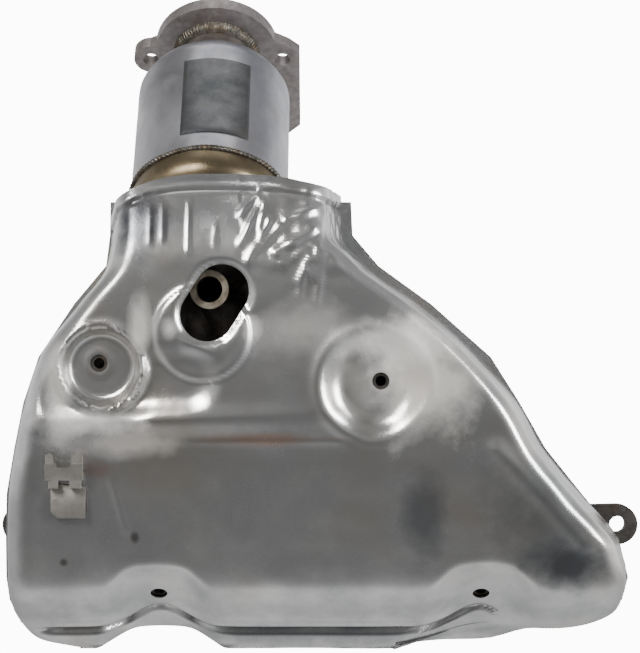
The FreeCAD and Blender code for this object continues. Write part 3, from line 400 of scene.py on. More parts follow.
# Pressed features, at X and Z places on the front. A reach gives the distance up to which a feature is full
# and the distance at which it is gone.
DISH_DEPTH = 9.0
LEFT_DISH, LEFT_DISH_REACH = (-136.0, 124.5), (18.5, 27.0)
RIGHT_DISH, RIGHT_DISH_REACH = (33.6, 114.0), (18.0, 34.0)
DISH_RING_RADIUS, DISH_RING_WIDTH, DISH_RING_HEIGHT = 36.0, 3.5, 1.1
EMBOSS, EMBOSS_REACH, EMBOSS_HEIGHT = (-73.0, 146.0), (28.0, 31.5), 2.5
WINDOW, WINDOW_RADIUS = [(-61.0, 172.0), (-70.0, 157.5)], 16.8
WINDOW_DIP, WINDOW_DIP_END = 2.4, 21.0
FRONT_HOLES, HOLE_RADIUS = ((-138.0, 127.0), (38.0, 116.0)), 5.4
HOLE_RING_RADIUS, HOLE_RING_WIDTH, HOLE_RING_HEIGHT = 7.2, 1.3, 0.5
CUT_FROM, CUT_DEPTH = -125, 32
# The valley runs from the left dish to under the window, the recess lies under the left dish, and the sill
# swells under the window. Under the dishes come a shelf, a flat, and a faint line across.
VALLEY, VALLEY_REACH, VALLEY_DEPTH = [(-136, 120), (-112, 115), (-84, 118)], (9.0, 25.0), 3.4
RECESS, RECESS_REACH, RECESS_DEPTH = [(-162, 106), (-118, 104)], (4.0, 17.0), 2.4
SILL, SILL_REACH, SILL_HEIGHT = [(-82, 139), (-66, 136)], (0.0, 8.0), 1.2
SHELF_Z, SHELF_WIDTH, SHELF_HEIGHT = 91.0, 7.0, 1.9
FLAT_FROM, FLAT_FULL, FLAT_DEPTH = 99.0, 80.0, 2.2
LINE_Z, LINE_WIDTH, LINE_DEPTH = 79.0, 2.6, 0.5

# The rolled lip's bead and the fine line under it, in mm below the edge
LIP_BEAD_REACH, LIP_BEAD_HEIGHT = (6.5, 8.5), 1.3
LIP_LINE_AT, LIP_LINE_WIDTH, LIP_LINE_DEPTH = 9.5, 1.3, 0.8

# The rippled sheet lies back by RIPPLE_REST. The seat in each dish has no ripples and stands off instead.
RIPPLE_REST = 0.9
LEFT_SEAT, RIGHT_SEAT, SEAT_STAND_OFF = (25.0, 31.0), (19.5, 27.0), 0.3
CRUMPLE_FROM_Z, CRUMPLE_FROM_X = 175, -50
FOOT_END_MARGIN = 14

# Leaning seats of the two lower fixings: X of each, Y and Z of the hole in its floor, lean and half width
SCALLOP_X, SCALLOP_Y, SCALLOP_Z, SCALLOP_LEAN = 103.0, -75.0, -20.0, math.radians(39)
SCALLOP_HALF = 19.0
SCALLOP_CUT = 24
FLANK_SLOPE, FLANK_ROUNDING, FLANK_GAP = 0.39, 40.0, 0.2
PUSH_EASING = 2.0                   # the push starts softly over this many mm to both sides
SCALLOP_END = (40.0, 55.0)          # distance aside at which the push fades out

# The groove rolled along the foot, the bead above it, and the lift of the foot's right end
GROOVE_Z, GROOVE_WIDTH, GROOVE_DEPTH = -46.5, 1.9, 5.0
GROOVE_CLIMB, CLIMB_WIDTH = 15.0, 21
GROOVE_EASED, EASED_WIDTH = 0.45, 13        # shallower over the lower fixings' feet
GROOVE_START, GROOVE_END = (-190, -165), (104, 121)
BEAD_ABOVE, BEAD_WIDTH, BEAD_HEIGHT = 5.5, 2.4, 1.4
GROOVE_WAY = np.array([0.0, 0.8, 0.6])
END_LIFT, END_LIFT_X, END_LIFT_Z = 4.0, (108, 138), (-61, -30)

# How far the sheet may reach in X, Y and Z
REACH_X, REACH_Y, REACH_Z = (-206.8, 202.8), (-117.3, -37.2), (-60.9, 246.3)

CREASES = [  # path, width and height in mm
    ([(-38, 235), (-51, 220)], 1.3, 0.9), ([(-37, 229), (-50, 201)], 1.4, 1.1),
    ([(-34, 231), (-38, 210)], 1.2, 0.8), ([(-31, 217), (-45, 190)], 1.5, 1.1),
    ([(-25, 213), (-35, 201)], 1.5, 1.0), ([(-2, 224), (-21, 217)], 2.6, 1.4),
    ([(-3, 211), (-28, 196)], 2.8, 1.5), ([(-5, 201), (-24, 188)], 2.0, 1.0),
    ([(4, 221), (-1, 200), (-5, 180)], 1.6, 1.3), ([(-6, 193), (-14, 177)], 1.6, 1.1),
    ([(-9, 186), (-13, 168)], 1.7, 1.1), ([(2, 196), (-2, 165)], 1.8, 1.1),
    ([(-82, 229), (-82, 196)], 1.2, 0.6), ([(-98, 226), (-98, 204)], 1.6, 0.3),
    ([(-106, 225), (-106, 202)], 1.5, 0.3), ([(-65, 212), (-66, 200)], 1.5, 0.35),
    ([(-130, 54), (-121, 22)], 2.0, 0.7), ([(110, 73), (140, 41), (165, 13)], 6.0, 1.6),
]


def monotone(xs, ys, at):
    """Piecewise cubic through the points, with no overshoot."""
    order = np.argsort(xs)
    xs, ys = np.array(xs, float)[order], np.array(ys, float)[order]
    h, d = np.diff(xs), np.diff(ys) / np.diff(xs)
    slope = np.zeros(len(xs))
    slope[0], slope[-1] = d[0], d[-1]
    for i in range(1, len(xs) - 1):
        if d[i - 1] * d[i] > 0:
            w1, w2 = 2 * h[i] + h[i - 1], h[i] + 2 * h[i - 1]
            slope[i] = (w1 + w2) / (w1 / d[i - 1] + w2 / d[i])
    k = np.clip(np.searchsorted(xs, at) - 1, 0, len(xs) - 2)
    t = (at - xs[k]) / h[k]
    return ((2 * t**3 - 3 * t**2 + 1) * ys[k] + (t**3 - 2 * t**2 + t) * h[k] * slope[k]
            + (3 * t**2 - 2 * t**3) * ys[k + 1] + (t**3 - t**2) * h[k] * slope[k + 1])


def section(height, count):
    """X and Y at one height, evenly spaced from the left rim over the front to the right rim."""
    left, right = float(monotone(HEIGHTS, LEFTS, height)), float(monotone(HEIGHTS, RIGHTS, height))
    front = float(monotone(HEIGHTS, FRONTS, height))
    depth = RIM - front
    corner = min(CORNER, 0.42 * depth)
    slant = DRAFT * depth
    line = [(left, RIM)]
    for k in range(CORNER_STEPS + 1):
        a = math.pi / 2 * k / CORNER_STEPS
        line.append((left + slant + corner * (1 - math.cos(a)), front + corner * (1 - math.sin(a))))
    for k in range(CORNER_STEPS + 1):
        a = math.pi / 2 * (1 - k / CORNER_STEPS)
        line.append((right - slant - corner * (1 - math.cos(a)), front + corner * (1 - math.sin(a))))
    line.append((right, RIM))
    line = np.array(line)
    run = np.concatenate([[0], np.cumsum(np.hypot(*np.diff(line, axis=0).T))])
    even = np.linspace(0, run[-1], count)
    return np.interp(even, run, line[:, 0]), np.interp(even, run, line[:, 1])


def near_line(x, z, path):
    """Distance in mm from each point to a polyline in X and Z."""
    best = np.full(np.shape(x), 1e9)
    for (x1, z1), (x2, z2) in zip(path, path[1:]):
        dx, dz = x2 - x1, z2 - z1
        t = np.clip(((x - x1) * dx + (z - z1) * dz) / (dx * dx + dz * dz), 0, 1)
        best = np.minimum(best, np.hypot(x - x1 - t * dx, z - z1 - t * dz))
    return best


def away(x, z, centre):
    return np.hypot(x - centre[0], z - centre[1])


def pressed(x, z):
    """How far the sheet stands out, in mm, from its plain form at each point of the front."""
    out = np.zeros_like(x)
    left_dish, right_dish, emboss = away(x, z, LEFT_DISH), away(x, z, RIGHT_DISH), away(x, z, EMBOSS)
    beside_left_dish = smoothstep(24.0, 32.0, left_dish)
    out -= DISH_DEPTH * within(*LEFT_DISH_REACH, left_dish)
    out -= DISH_DEPTH * within(*RIGHT_DISH_REACH, right_dish)
    out += DISH_RING_HEIGHT * ridge(right_dish - DISH_RING_RADIUS, DISH_RING_WIDTH)
    out -= VALLEY_DEPTH * within(*VALLEY_REACH, near_line(x, z, VALLEY)) * beside_left_dish
    out += EMBOSS_HEIGHT * within(*EMBOSS_REACH, emboss)
    out += SILL_HEIGHT * within(*SILL_REACH, near_line(x, z, SILL))
    out -= WINDOW_DIP * within(WINDOW_RADIUS, WINDOW_DIP_END, near_line(x, z, WINDOW))
    for hole in FRONT_HOLES:
        out += HOLE_RING_HEIGHT * ridge(away(x, z, hole) - HOLE_RING_RADIUS, HOLE_RING_WIDTH)
    out -= RECESS_DEPTH * within(*RECESS_REACH, near_line(x, z, RECESS)) * beside_left_dish
    # the shelf under the dishes, the flat below it, and the faint line across, each fading at both ends
    out += SHELF_HEIGHT * ridge(z - SHELF_Z, SHELF_WIDTH) * smoothstep(-190, -165, x) * within(-75, 30, x)
    out -= FLAT_DEPTH * smoothstep(FLAT_FROM, FLAT_FULL, z) * smoothstep(-185, -160, x) * within(70, 120, x)
    out -= LINE_DEPTH * ridge(z - LINE_Z, LINE_WIDTH) * smoothstep(-110, -70, x) * within(20, 60, x)
    for path, width, height in CREASES:
        out += height * ridge(near_line(x, z, path), width)
    return out


def lip_heights():
    """Height of the lip over each column: a crown that falls away to both ends."""
    upper_x, _ = section(LIP_SECTION, COLUMNS)
    left_share = np.clip((LIP_CROWN_X - upper_x) / (LIP_CROWN_X - LIP_LEFT_X), 0, 1)
    right_share = np.clip((upper_x - LIP_CROWN_X) / (LIP_RIGHT_X - LIP_CROWN_X), 0, 1)
    return LIP_CROWN - LIP_LEFT_FALL * left_share ** 3.2 - LIP_RIGHT_FALL * right_share ** 2


def plain_form():
    """Grid of points over the tray form, before anything is pressed into it."""
    top = HEIGHTS[0]
    levels = np.concatenate([np.linspace(top, -30, PLAIN_ROWS),
                             np.linspace(FOOT_FROM, FOOT_TO, ROWS - PLAIN_ROWS)])
    lip = lip_heights()
    grid = np.zeros((ROWS, COLUMNS, 3))
    for r, level in enumerate(levels):
        here = np.full(COLUMNS, float(level))
        if level > NECK:
            here = NECK + (level - NECK) * (lip - NECK) / (top - NECK)
            x, y = points_at(here, float(top))
        else:
            x, y = section(float(level), COLUMNS)
        grid[r, :, 0], grid[r, :, 1], grid[r, :, 2] = x, y, here
    return grid


def points_at(here, top):
    """X and Y of a row whose height changes from column to column, between sections a step apart."""
    marks = np.arange(math.floor(here.min()), math.ceil(here.max()) + 2, SECTION_STEP)
    table = [section(min(mark, top), COLUMNS) for mark in marks]
    pick = np.clip(((here - marks[0]) / SECTION_STEP).astype(int), 0, len(marks) - 2)
    part = (here - marks[pick]) / SECTION_STEP
    span = np.arange(COLUMNS)
    table_x, table_y = np.array([t[0] for t in table]), np.array([t[1] for t in table])
    x = table_x[pick, span] * (1 - part) + table_x[pick + 1, span] * part
    y = table_y[pick, span] * (1 - part) + table_y[pick + 1, span] * part
    return x, y


def grid_normals(grid):
    """Outward normals of the shield's grid; its middle faces the front."""
    n = np.cross(np.gradient(grid, axis=1), np.gradient(grid, axis=0))
    n /= np.maximum(np.linalg.norm(n, axis=2, keepdims=True), 1e-9)
    return -n if n[ROWS // 2, COLUMNS // 2, 1] > 0 else n


def ripples(grid):
    """Unevenness of the pressed sheet, stronger at the neck's crumpled right and at the foot's ends."""
    ripple = np.zeros((ROWS, COLUMNS))
    for r in range(ROWS):
        for c in range(COLUMNS):
            p = grid[r, c]
            ripple[r, c] = 0.9 * wobble(p, 46.0, 1.7) + 0.22 * wobble(p, 15.0, 4.1)
            if p[2] > CRUMPLE_FROM_Z and p[0] > CRUMPLE_FROM_X:
                ripple[r, c] += 0.9 * wobble(p, 9.0, 7.3) * min(1.0, (p[2] - CRUMPLE_FROM_Z) / 20)
            edge = min(c, COLUMNS - 1 - c) * 2.0
            if p[2] < 0 and edge < FOOT_END_MARGIN:
                ripple[r, c] += 0.5 * wobble(p, 6.0, 2.9) * (1 - edge / FOOT_END_MARGIN)
    return ripple


def press(grid):
    """Moves the plain form out by its pressed features, its rolled lip and its ripples. The dishes' floors
    stay even, a little proud of the fixings behind them."""
    out = grid_normals(grid)
    x, z = grid[..., 0], grid[..., 2]
    facing = smoothstep(0.35, 0.85, -out[..., 1])
    shape = pressed(x, z) * np.maximum(facing, smoothstep(10, -20, z))
    top_gap = grid[0:1, :, 2] - z
    bead = LIP_BEAD_HEIGHT * within(*LIP_BEAD_REACH, top_gap)
    shape += bead - LIP_LINE_DEPTH * ridge(top_gap - LIP_LINE_AT, LIP_LINE_WIDTH)
    free = np.minimum(smoothstep(*LEFT_SEAT, away(x, z, LEFT_DISH)),
                      smoothstep(*RIGHT_SEAT, away(x, z, RIGHT_DISH)))
    out_by = shape + (ripples(grid) - RIPPLE_REST) * free + SEAT_STAND_OFF * (1 - free)
    return grid + out * out_by[..., None]


def push_scallops(grid):
    """Flattens the sheet on to the leaning seat of each lower fixing, with rounded flanks."""
    sin_lean, cos_lean = math.sin(SCALLOP_LEAN), math.cos(SCALLOP_LEAN)
    for side in (-1, 1):
        proud = (grid[..., 1] - SCALLOP_Y) * -sin_lean + (grid[..., 2] - SCALLOP_Z) * -cos_lean
        aside = np.abs(grid[..., 0] - side * SCALLOP_X)
        beyond = aside - SCALLOP_HALF
        allowed = FLANK_SLOPE * (beyond + np.sqrt(beyond ** 2 + FLANK_ROUNDING)) + FLANK_GAP
        over = proud - allowed
        eased = (over + PUSH_EASING) ** 2 / (4 * PUSH_EASING)
        push = np.where(over > -PUSH_EASING, np.where(over > PUSH_EASING, over, eased), 0.0)
        push *= within(*SCALLOP_END, aside)
        keep = smoothstep(-37.0, -42.0, grid[..., 1])
        grid[..., 1] += push * keep * sin_lean
        grid[..., 2] += push * keep * cos_lean


def soften_foot(grid, passes=14, share=0.6):
    """Rounds the foot by moving each point part of the way to the mean of its neighbours."""
    foot = smoothstep(-8.0, -26.0, grid[..., 2])[..., None]
    for _ in range(passes):
        mean = grid.copy()
        mean[1:-1, 1:-1] = (grid[:-2, 1:-1] + grid[2:, 1:-1] + grid[1:-1, :-2] + grid[1:-1, 2:]) / 4
        grid += (mean - grid) * share * foot


def groove_foot(grid):
    """Rolls a groove along the foot, which climbs over the scallops, and lifts the foot's right end."""
    x = grid[..., 0]
    climb = ridge(x - SCALLOP_X, CLIMB_WIDTH) + ridge(x + SCALLOP_X, CLIMB_WIDTH)
    above = grid[..., 2] - (GROOVE_Z + GROOVE_CLIMB * climb)
    drop = GROOVE_DEPTH * ridge(above, GROOVE_WIDTH) - BEAD_HEIGHT * ridge(above - BEAD_ABOVE, BEAD_WIDTH)
    drop *= 1 - GROOVE_EASED * ridge(np.abs(x) - SCALLOP_X, EASED_WIDTH)
    drop *= smoothstep(*GROOVE_START, x) * within(*GROOVE_END, x)
    grid += GROOVE_WAY * drop[..., None]
    grid[..., 2] += END_LIFT * smoothstep(*END_LIFT_X, grid[..., 0]) * within(*END_LIFT_Z, grid[..., 2])


def window_outline():
    """The sensor window: a slot with round ends."""
    (high_x, high_z), (low_x, low_z) = WINDOW
    turn = math.atan2(high_z - low_z, high_x - low_x)
    outline = []
    for end_x, end_z, start in ((high_x, high_z, turn - math.pi / 2), (low_x, low_z, turn + math.pi / 2)):
        for k in range(25):
            angle = start + math.pi * k / 24
            outline.append((end_x + WINDOW_RADIUS * math.cos(angle), end_z + WINDOW_RADIUS * math.sin(angle)))
    return outline


def shield_holes():
    """Cutters for the sensor window, the two front holes and the hole in each scallop."""
    across, up = (1, 0, 0), (0, 0, 1)
    outlines = [window_outline()] + [circle(HOLE_RADIUS, hole) for hole in FRONT_HOLES]
    cutters = [prism(outline, (0, CUT_FROM, 0), (0, CUT_DEPTH, 0), across, up) for outline in outlines]
    sin_lean, cos_lean = math.sin(SCALLOP_LEAN), math.cos(SCALLOP_LEAN)
    half = SCALLOP_CUT / 2
    for side in (-1, 1):
        start = (side * SCALLOP_X, SCALLOP_Y - half * sin_lean, SCALLOP_Z - half * cos_lean)
        along = (0, SCALLOP_CUT * sin_lean, SCALLOP_CUT * cos_lean)
        cutters.append(prism(circle(HOLE_RADIUS), start, along, across, (0, cos_lean, -sin_lean)))
    return cutters


def front_shield():
    grid = press(plain_form())
    push_scallops(grid)
    soften_foot(grid)
    groove_foot(grid)
    for axis, (low, high) in enumerate((REACH_X, REACH_Y, REACH_Z)):
        grid[..., axis] = np.clip(grid[..., axis], low, high)
    inner = grid - grid_normals(grid) * SHEET
    inner[..., 1] = np.minimum(inner[..., 1], -37.1)
    points, faces = sheet(grid.reshape(-1, 3), inner.reshape(-1, 3), ROWS, COLUMNS)
    piece("front_shield_pressing", points, faces, "front_heat_shield", shield_holes(), 40.0)


# ------------------------------------------------------------------ harness clip
def strip(name, outline, front, thick, stands_in=False, bend=None):
    """A small sheet part: an outline in X and Z, its front at a depth, with a soft front edge."""
    middle = np.mean(outline, axis=0)
    rings = ((1.0, front + thick), (1.0, front + 0.35), (0.985, front + 0.1), (0.955, front))
    points = []
    for scale, y in rings:
        for a, b in outline:
            x, z = middle[0] + (a - middle[0]) * scale, middle[1] + (b - middle[1]) * scale
            points.append((x, y + (bend(x, z) if bend else 0.0), z))
    count = len(outline)
    faces = grid_faces(len(rings), count, closed=True)
    faces += [tuple(range(count)), tuple(range(len(points) - 1, len(points) - 1 - count, -1))]
    piece(name, points, faces, "harness_clip", smooth=30.0, stands_in=stands_in)


# The clip's parts, in mm from the lowest corner of the node's own box: outlines in X and Z, then each part's
# front and thickness.
CLIP_PLATE = ((3, 4), (7, 0), (24.5, 0), (24.5, 9), (24.9, 19), (22, 20.5), (3, 20.5))
CLIP_LOOP = ((0.4, 24), (24, 24), (24, 34.5), (16.6, 34.5), (16, 32), (8, 32), (7.4, 34.5), (0.4, 34.5))
CLIP_PRONGS, PRONG_FOOT, PRONG_SHOULDER, PRONG_TIP = ((0.8, 5.8), (17.0, 24.0)), 34, 39.5, 40.8
CLIP_WEBS, WEB_FOOT, WEB_HEAD = ((2.5, 8.5), (15.5, 22.5)), 19, 26
SPOT_WELD_AT, SPOT_WELD_RADIUS = (6.4, 10.2), 2.2
PLATE_FRONT, PLATE_THICK = 9.6, 2.6
LOOP_FRONT, LOOP_THICK = 0.3, 1.2
LOOP_BEND, BEND_FROM, BEND_FULL = 1.6, 27.0, 24.0
PRONG_FRONT, PRONG_THICK = 0.5, 1.2
WEB_FRONT, WEB_THICK = 2.2, 7.8
SPOT_WELD_FRONT, SPOT_WELD_THICK = 9.3, 0.6


def harness_clip():
    """One bent sheet: a base plate, a loop that stands off, two prongs and two webs, with its spot weld."""
    low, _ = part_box("harness_clip")
    x0, y0, z0 = low.x / MM, low.y / MM, low.z / MM

    def placed(corners):
        return [(x0 + a, z0 + b) for a, b in corners]

    def loop_bend(x, z):
        return LOOP_BEND * smoothstep(BEND_FROM, BEND_FULL, z - z0)

    strip("clip_plate", placed(CLIP_PLATE), y0 + PLATE_FRONT, PLATE_THICK, stands_in=True)
    strip("clip_loop", placed(CLIP_LOOP), y0 + LOOP_FRONT, LOOP_THICK, bend=loop_bend)
    for index, (left, right) in enumerate(CLIP_PRONGS):
        outline = ((left, PRONG_FOOT), (right, PRONG_FOOT), (right, PRONG_SHOULDER),
                   ((left + right) / 2, PRONG_TIP), (left, PRONG_SHOULDER))
        strip("clip_prong_%d" % index, placed(outline), y0 + PRONG_FRONT, PRONG_THICK)
    for index, (left, right) in enumerate(CLIP_WEBS):
        outline = ((left, WEB_FOOT), (right, WEB_FOOT), (right, WEB_HEAD), (left, WEB_HEAD))
        strip("clip_web_%d" % index, placed(outline), y0 + WEB_FRONT, WEB_THICK)
    weld = circle(SPOT_WELD_RADIUS, (x0 + SPOT_WELD_AT[0], z0 + SPOT_WELD_AT[1]), 20)
    strip("clip_spot_weld", weld, y0 + SPOT_WELD_FRONT, SPOT_WELD_THICK)


# ------------------------------------------------------------------ converter
# Radii, and heights along the converter's own axis, which leans back from upright. Height 0 is the can's
# lower end.
AXIS_TILT = math.radians(40)
AXIS_AT = np.array([-73.0, -35.0, 231.0])
CAN_OUTER, CAN_INNER, CAN_LENGTH = 52.0, 50.5, 100.0
PIPE_OUTER, PIPE_INNER, PIPE_TOP = 25, 23, 155
WELD_LEG = 2.2

INLET_CONE_PROFILE = [
    (52, 0), (52, -4), (51.9, -8), (51.3, -12), (50.2, -15), (48.4, -17.5), (46.4, -19.5), (44, -22),
    (42.5, -22), (44.6, -19.6), (46.8, -17.3), (48.6, -14.6), (50.2, -10), (50.5, -7.5), (50.5, 0)]
OUTLET_CONE_PROFILE = [
    (50.5, 92), (50.5, 100), (49.9, 102), (48.6, 105), (46.4, 108.4), (44.0, 111.2), (41.0, 113.8),
    (37.6, 116.6), (33.6, 119.6), (29.6, 122.2), (27.2, 123.6), (26.5, 125), (26.5, 130), (25, 130),
    (25, 123), (39.6, 114.2), (46.4, 106.2), (49, 100), (49, 92)]
OUTLET_PIPE_PROFILE = [
    (PIPE_OUTER, 124), (PIPE_OUTER, 140), (PIPE_OUTER, 154.2), (24.6, 154.9), (23.9, PIPE_TOP), (23.2, 154.8),
    (PIPE_INNER, 154.2), (PIPE_INNER, 124)]
CAN_WELD_PROFILE = [(52, -2.0), (53.1, -1.7), (53.9, -0.9), (54.15, 0), (53.9, 0.9), (53.1, 1.7), (52, 2.0)]
OUTLET_WELD_PROFILE = [(25, 139.4), (26.8, 140.2), (28.6, 141.4), (29.6, 142.8), (30.4, 144.4), (30.6, 145),
                       (25, 145)]
PLATE_MIDDLE, PLATE_HALF = math.radians(275.5), math.radians(25.0)
PLATE_LOW, PLATE_HIGH, PLATE_RADIUS = 14.4, 83.6, 53.15


def axial(x, y, z):
    """A point given along the converter's own axis, in the row frame."""
    cos_tilt, sin_tilt = math.cos(AXIS_TILT), math.sin(AXIS_TILT)
    return AXIS_AT + np.array([x, y * cos_tilt + z * sin_tilt, -y * sin_tilt + z * cos_tilt])


def around(radius, angle, height):
    return axial(radius * math.cos(angle), radius * math.sin(angle), height)


def turned(name, node, profile, segments, shape=None, smooth=35.0):
    """A ring turned about the converter's axis from a closed profile of (radius, height)."""
    points = []
    for radius, height in profile:
        for s in range(segments):
            angle = 2 * math.pi * s / segments
            r, h = (radius, height) if shape is None else shape(radius, height, angle)
            points.append(around(r, angle, h))
    count = len(profile)
    faces = []
    for p in range(count):
        here, after = p * segments, ((p + 1) % count) * segments
        for s in range(segments):
            beside = (s + 1) % segments
            faces.append((here + s, here + beside, after + beside, after + s))
    piece(name, points, faces, node, smooth=smooth)


def can_dents(radius, height, angle):
    """Shallow dents in the can's outside."""
    p = around(radius, angle, height)
    dent = 0.35 * wobble(p, 26.0, 3.3) + 0.12 * wobble(p, 9.0, 5.1)
    return radius - abs(dent) * (1.0 if radius > 51.0 else 0.0), height


def cone_dents(radius, height, angle):
    return radius - 0.25 * abs(wobble(around(radius, angle, height), 14.0, 6.0)), height


def can_weld_ripples(radius, height, angle, amount=0.7, count=110):
    """Overlapping scales of the can's weld, and a slight wander along its seam."""
    wave = amount * (0.5 + 0.5 * math.sin(count * angle + 0.9 * math.sin(3 * angle)))
    grow = (radius - CAN_OUTER) / WELD_LEG
    wander = 0.35 * math.sin(7 * angle) * (1 if abs(height) < 2 else 0.4)
    return radius - wave * max(0.0, grow), height + wander


def outlet_weld_ripples(radius, height, angle):
    wave = 0.5 + 0.5 * math.sin(78 * angle)
    return radius - 0.8 * max(0.0, (radius - PIPE_OUTER) / 6) * wave, height


def can_barrel():
    side = [(CAN_OUTER, 0.0)] + [(CAN_OUTER, h) for h in np.linspace(3.0, 96.0, 48)]
    rolled = [(51.85, 98.6), (51.4, 99.6), (50.6, CAN_LENGTH)]
    bore = [(CAN_INNER, CAN_LENGTH), (CAN_INNER, 0.0)]
    turned("can_barrel", "can_shell", side + rolled + bore, segments=200, shape=can_dents)


def can_plate():
    """A curved plate tacked on to the can, with soft edges."""
    rows, columns = 40, 40
    outer, inner = [], []
    for r in range(rows):
        height = PLATE_LOW + (PLATE_HIGH - PLATE_LOW) * r / (rows - 1)
        for c in range(columns):
            angle = PLATE_MIDDLE - PLATE_HALF + 2 * PLATE_HALF * c / (columns - 1)
            edge = min(r, rows - 1 - r, c, columns - 1 - c) / 2.0
            radius = PLATE_RADIUS - 0.5 * max(0.0, 1 - edge) ** 2 + 0.1 * wobble((r, c, 0), 9.0)
            outer.append(around(radius, angle, height))
            inner.append(around(CAN_OUTER, angle, height))
    points, faces = sheet(outer, inner, rows, columns)
    piece("can_plate_skin", points, faces, "can_plate", finish="plate_steel")


def converter():
    can_barrel()
    turned("inlet_cone_skin", "inlet_cone", INLET_CONE_PROFILE, segments=180, shape=cone_dents)
    turned("outlet_cone_skin", "outlet_cone", OUTLET_CONE_PROFILE, segments=180)
    turned("outlet_pipe_skin", "outlet_pipe", OUTLET_PIPE_PROFILE, segments=140)
    turned("can_weld_ripple", "can_weld_bead", CAN_WELD_PROFILE,
           segments=720, shape=can_weld_ripples, smooth=60.0)
    turned("outlet_weld_ripple", "outlet_weld_bead", OUTLET_WELD_PROFILE,
           segments=560, shape=outlet_weld_ripples, smooth=60.0)
    can_plate()


front_shield()
harness_clip()
converter()


# ------------------------------------------------------------------ stage, light and camera, in metres
FLOOR_Z, FLOOR_HALF = -0.0645, 6
WHITE_STRENGTH = 12.0       # makes the floor and the background plain white to the camera
CAMERA_AT, CAMERA_LENS, SENSOR_WIDTH = (0.0, -1.365, 0.150), 113.4, 36.0


def pale_floor_material():
    """Pale and dull to the light, plain white to the camera."""
    pale = bpy.data.materials.new("pale_floor")
    pale.use_nodes = True
    nodes, links = pale.node_tree.nodes, pale.node_tree.links
    shader = nodes["Principled BSDF"]
    shader.inputs["Base Color"].default_value = (0.9, 0.9, 0.9, 1)
    shader.inputs["Roughness"].default_value = 0.95
    glow = nodes.new("ShaderNodeEmission")
    glow.inputs["Color"].default_value = (1, 1, 1, 1)
    glow.inputs["Strength"].default_value = WHITE_STRENGTH
    either = nodes.new("ShaderNodeMixShader")
    links.new(nodes.new("ShaderNodeLightPath").outputs["Is Camera Ray"], either.inputs["Fac"])
    links.new(shader.outputs["BSDF"], either.inputs[1])
    links.new(glow.outputs["Emission"], either.inputs[2])
    links.new(either.outputs["Shader"], nodes["Material Output"].inputs["Surface"])
    return pale


def stage_floor():
    h = FLOOR_HALF
    corners = [(-h, -h, FLOOR_Z), (h, -h, FLOOR_Z), (h, h, FLOOR_Z), (-h, h, FLOOR_Z)]
    mesh = bpy.data.meshes.new("floor")
    mesh.from_pydata(corners, [], [(0, 1, 2, 3)])
    floor = bpy.data.objects.new("floor", mesh)
    bpy.context.scene.collection.objects.link(floor)
    mesh.materials.append(pale_floor_material())
    floor.visible_glossy = False
    floor.visible_diffuse = False


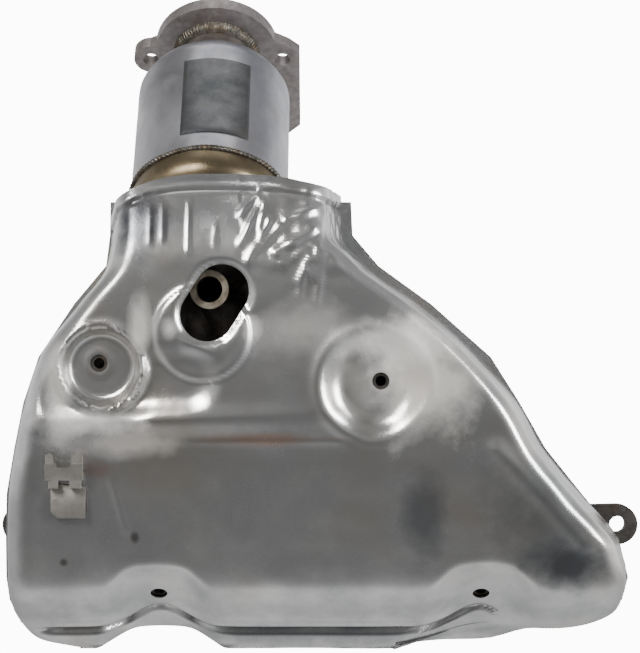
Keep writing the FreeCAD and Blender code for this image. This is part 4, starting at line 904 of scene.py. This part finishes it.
def studio():
    """A soft tent whose strength changes with direction, to show the sheet's form. White to the camera."""
    world = bpy.data.worlds.new("studio")
    bpy.context.scene.world = world
    world.use_nodes = True
    nodes, links = world.node_tree.nodes, world.node_tree.links
    nodes.clear()
    split = nodes.new("ShaderNodeSeparateXYZ")
    links.new(nodes.new("ShaderNodeTexCoord").outputs["Generated"], split.inputs["Vector"])

    def ranged(axis, low, high, to_low, to_high):
        node = nodes.new("ShaderNodeMapRange")
        for name, value in (("From Min", low), ("From Max", high), ("To Min", to_low), ("To Max", to_high)):
            node.inputs[name].default_value = value
        links.new(split.outputs[axis], node.inputs["Value"])
        return node.outputs["Result"]

    def times(a, b):
        node = nodes.new("ShaderNodeMath")
        node.operation = "MULTIPLY"
        links.new(a, node.inputs[0])
        links.new(b, node.inputs[1])
        return node.outputs["Value"]

    tent = ranged("Y", -1.0, -0.25, 0.10, 0.62)
    overhead = ranged("Z", 0.10, 0.60, 1.0, 0.24)
    below = ranged("Z", -1.0, -0.55, 1.5, 1.0)
    right = ranged("X", 0.1, 0.8, 1.0, 1.35)
    horizon = ranged("Z", -0.12, 0.10, 0.85, 1.9)
    grey = nodes.new("ShaderNodeBackground")
    grey.inputs["Color"].default_value = (0.98, 0.99, 1.0, 1)
    links.new(times(times(times(tent, overhead), times(below, right)), horizon), grey.inputs["Strength"])
    white = nodes.new("ShaderNodeBackground")
    white.inputs["Color"].default_value = (1, 1, 1, 1)
    white.inputs["Strength"].default_value = WHITE_STRENGTH
    blend = nodes.new("ShaderNodeMixShader")
    links.new(nodes.new("ShaderNodeLightPath").outputs["Is Camera Ray"], blend.inputs["Fac"])
    links.new(grey.outputs["Background"], blend.inputs[1])
    links.new(white.outputs["Background"], blend.inputs[2])
    links.new(blend.outputs["Shader"], nodes.new("ShaderNodeOutputWorld").inputs["Surface"])


def lamp(name, at, target, size, power, tint=(1, 1, 1)):
    """A soft rectangular lamp that faces its target."""
    data = bpy.data.lights.new(name, "AREA")
    data.shape = "RECTANGLE"
    data.size, data.size_y = size
    data.energy = power
    data.color = tint
    made = bpy.data.objects.new(name, data)
    made.location = at
    made.rotation_euler = (Vector(target) - Vector(at)).to_track_quat("-Z", "Y").to_euler()
    bpy.context.scene.collection.objects.link(made)


def front_camera():
    camera = bpy.data.cameras.new("camera")
    camera.lens = CAMERA_LENS
    camera.sensor_width = SENSOR_WIDTH
    camera.sensor_fit = "HORIZONTAL"
    viewer = bpy.data.objects.new("camera", camera)
    viewer.location = CAMERA_AT
    viewer.rotation_euler = (math.radians(90), 0, 0)
    bpy.context.scene.collection.objects.link(viewer)
    bpy.context.scene.camera = viewer


stage_floor()
studio()
lamp("key", at=(-0.75, -1.25, 0.95), target=(-0.03, -0.1, 0.13), size=(0.55, 0.5), power=25.0,
     tint=(1, 0.98, 0.95))
lamp("side", at=(1.2, -0.9, 0.45), target=(0.0, -0.1, 0.15), size=(0.4, 0.7), power=18.0,
     tint=(0.95, 0.97, 1))
lamp("top", at=(0.0, 0.1, 1.5), target=(0.0, 0.0, 0.2), size=(1.0, 0.8), power=3.0)
front_camera()
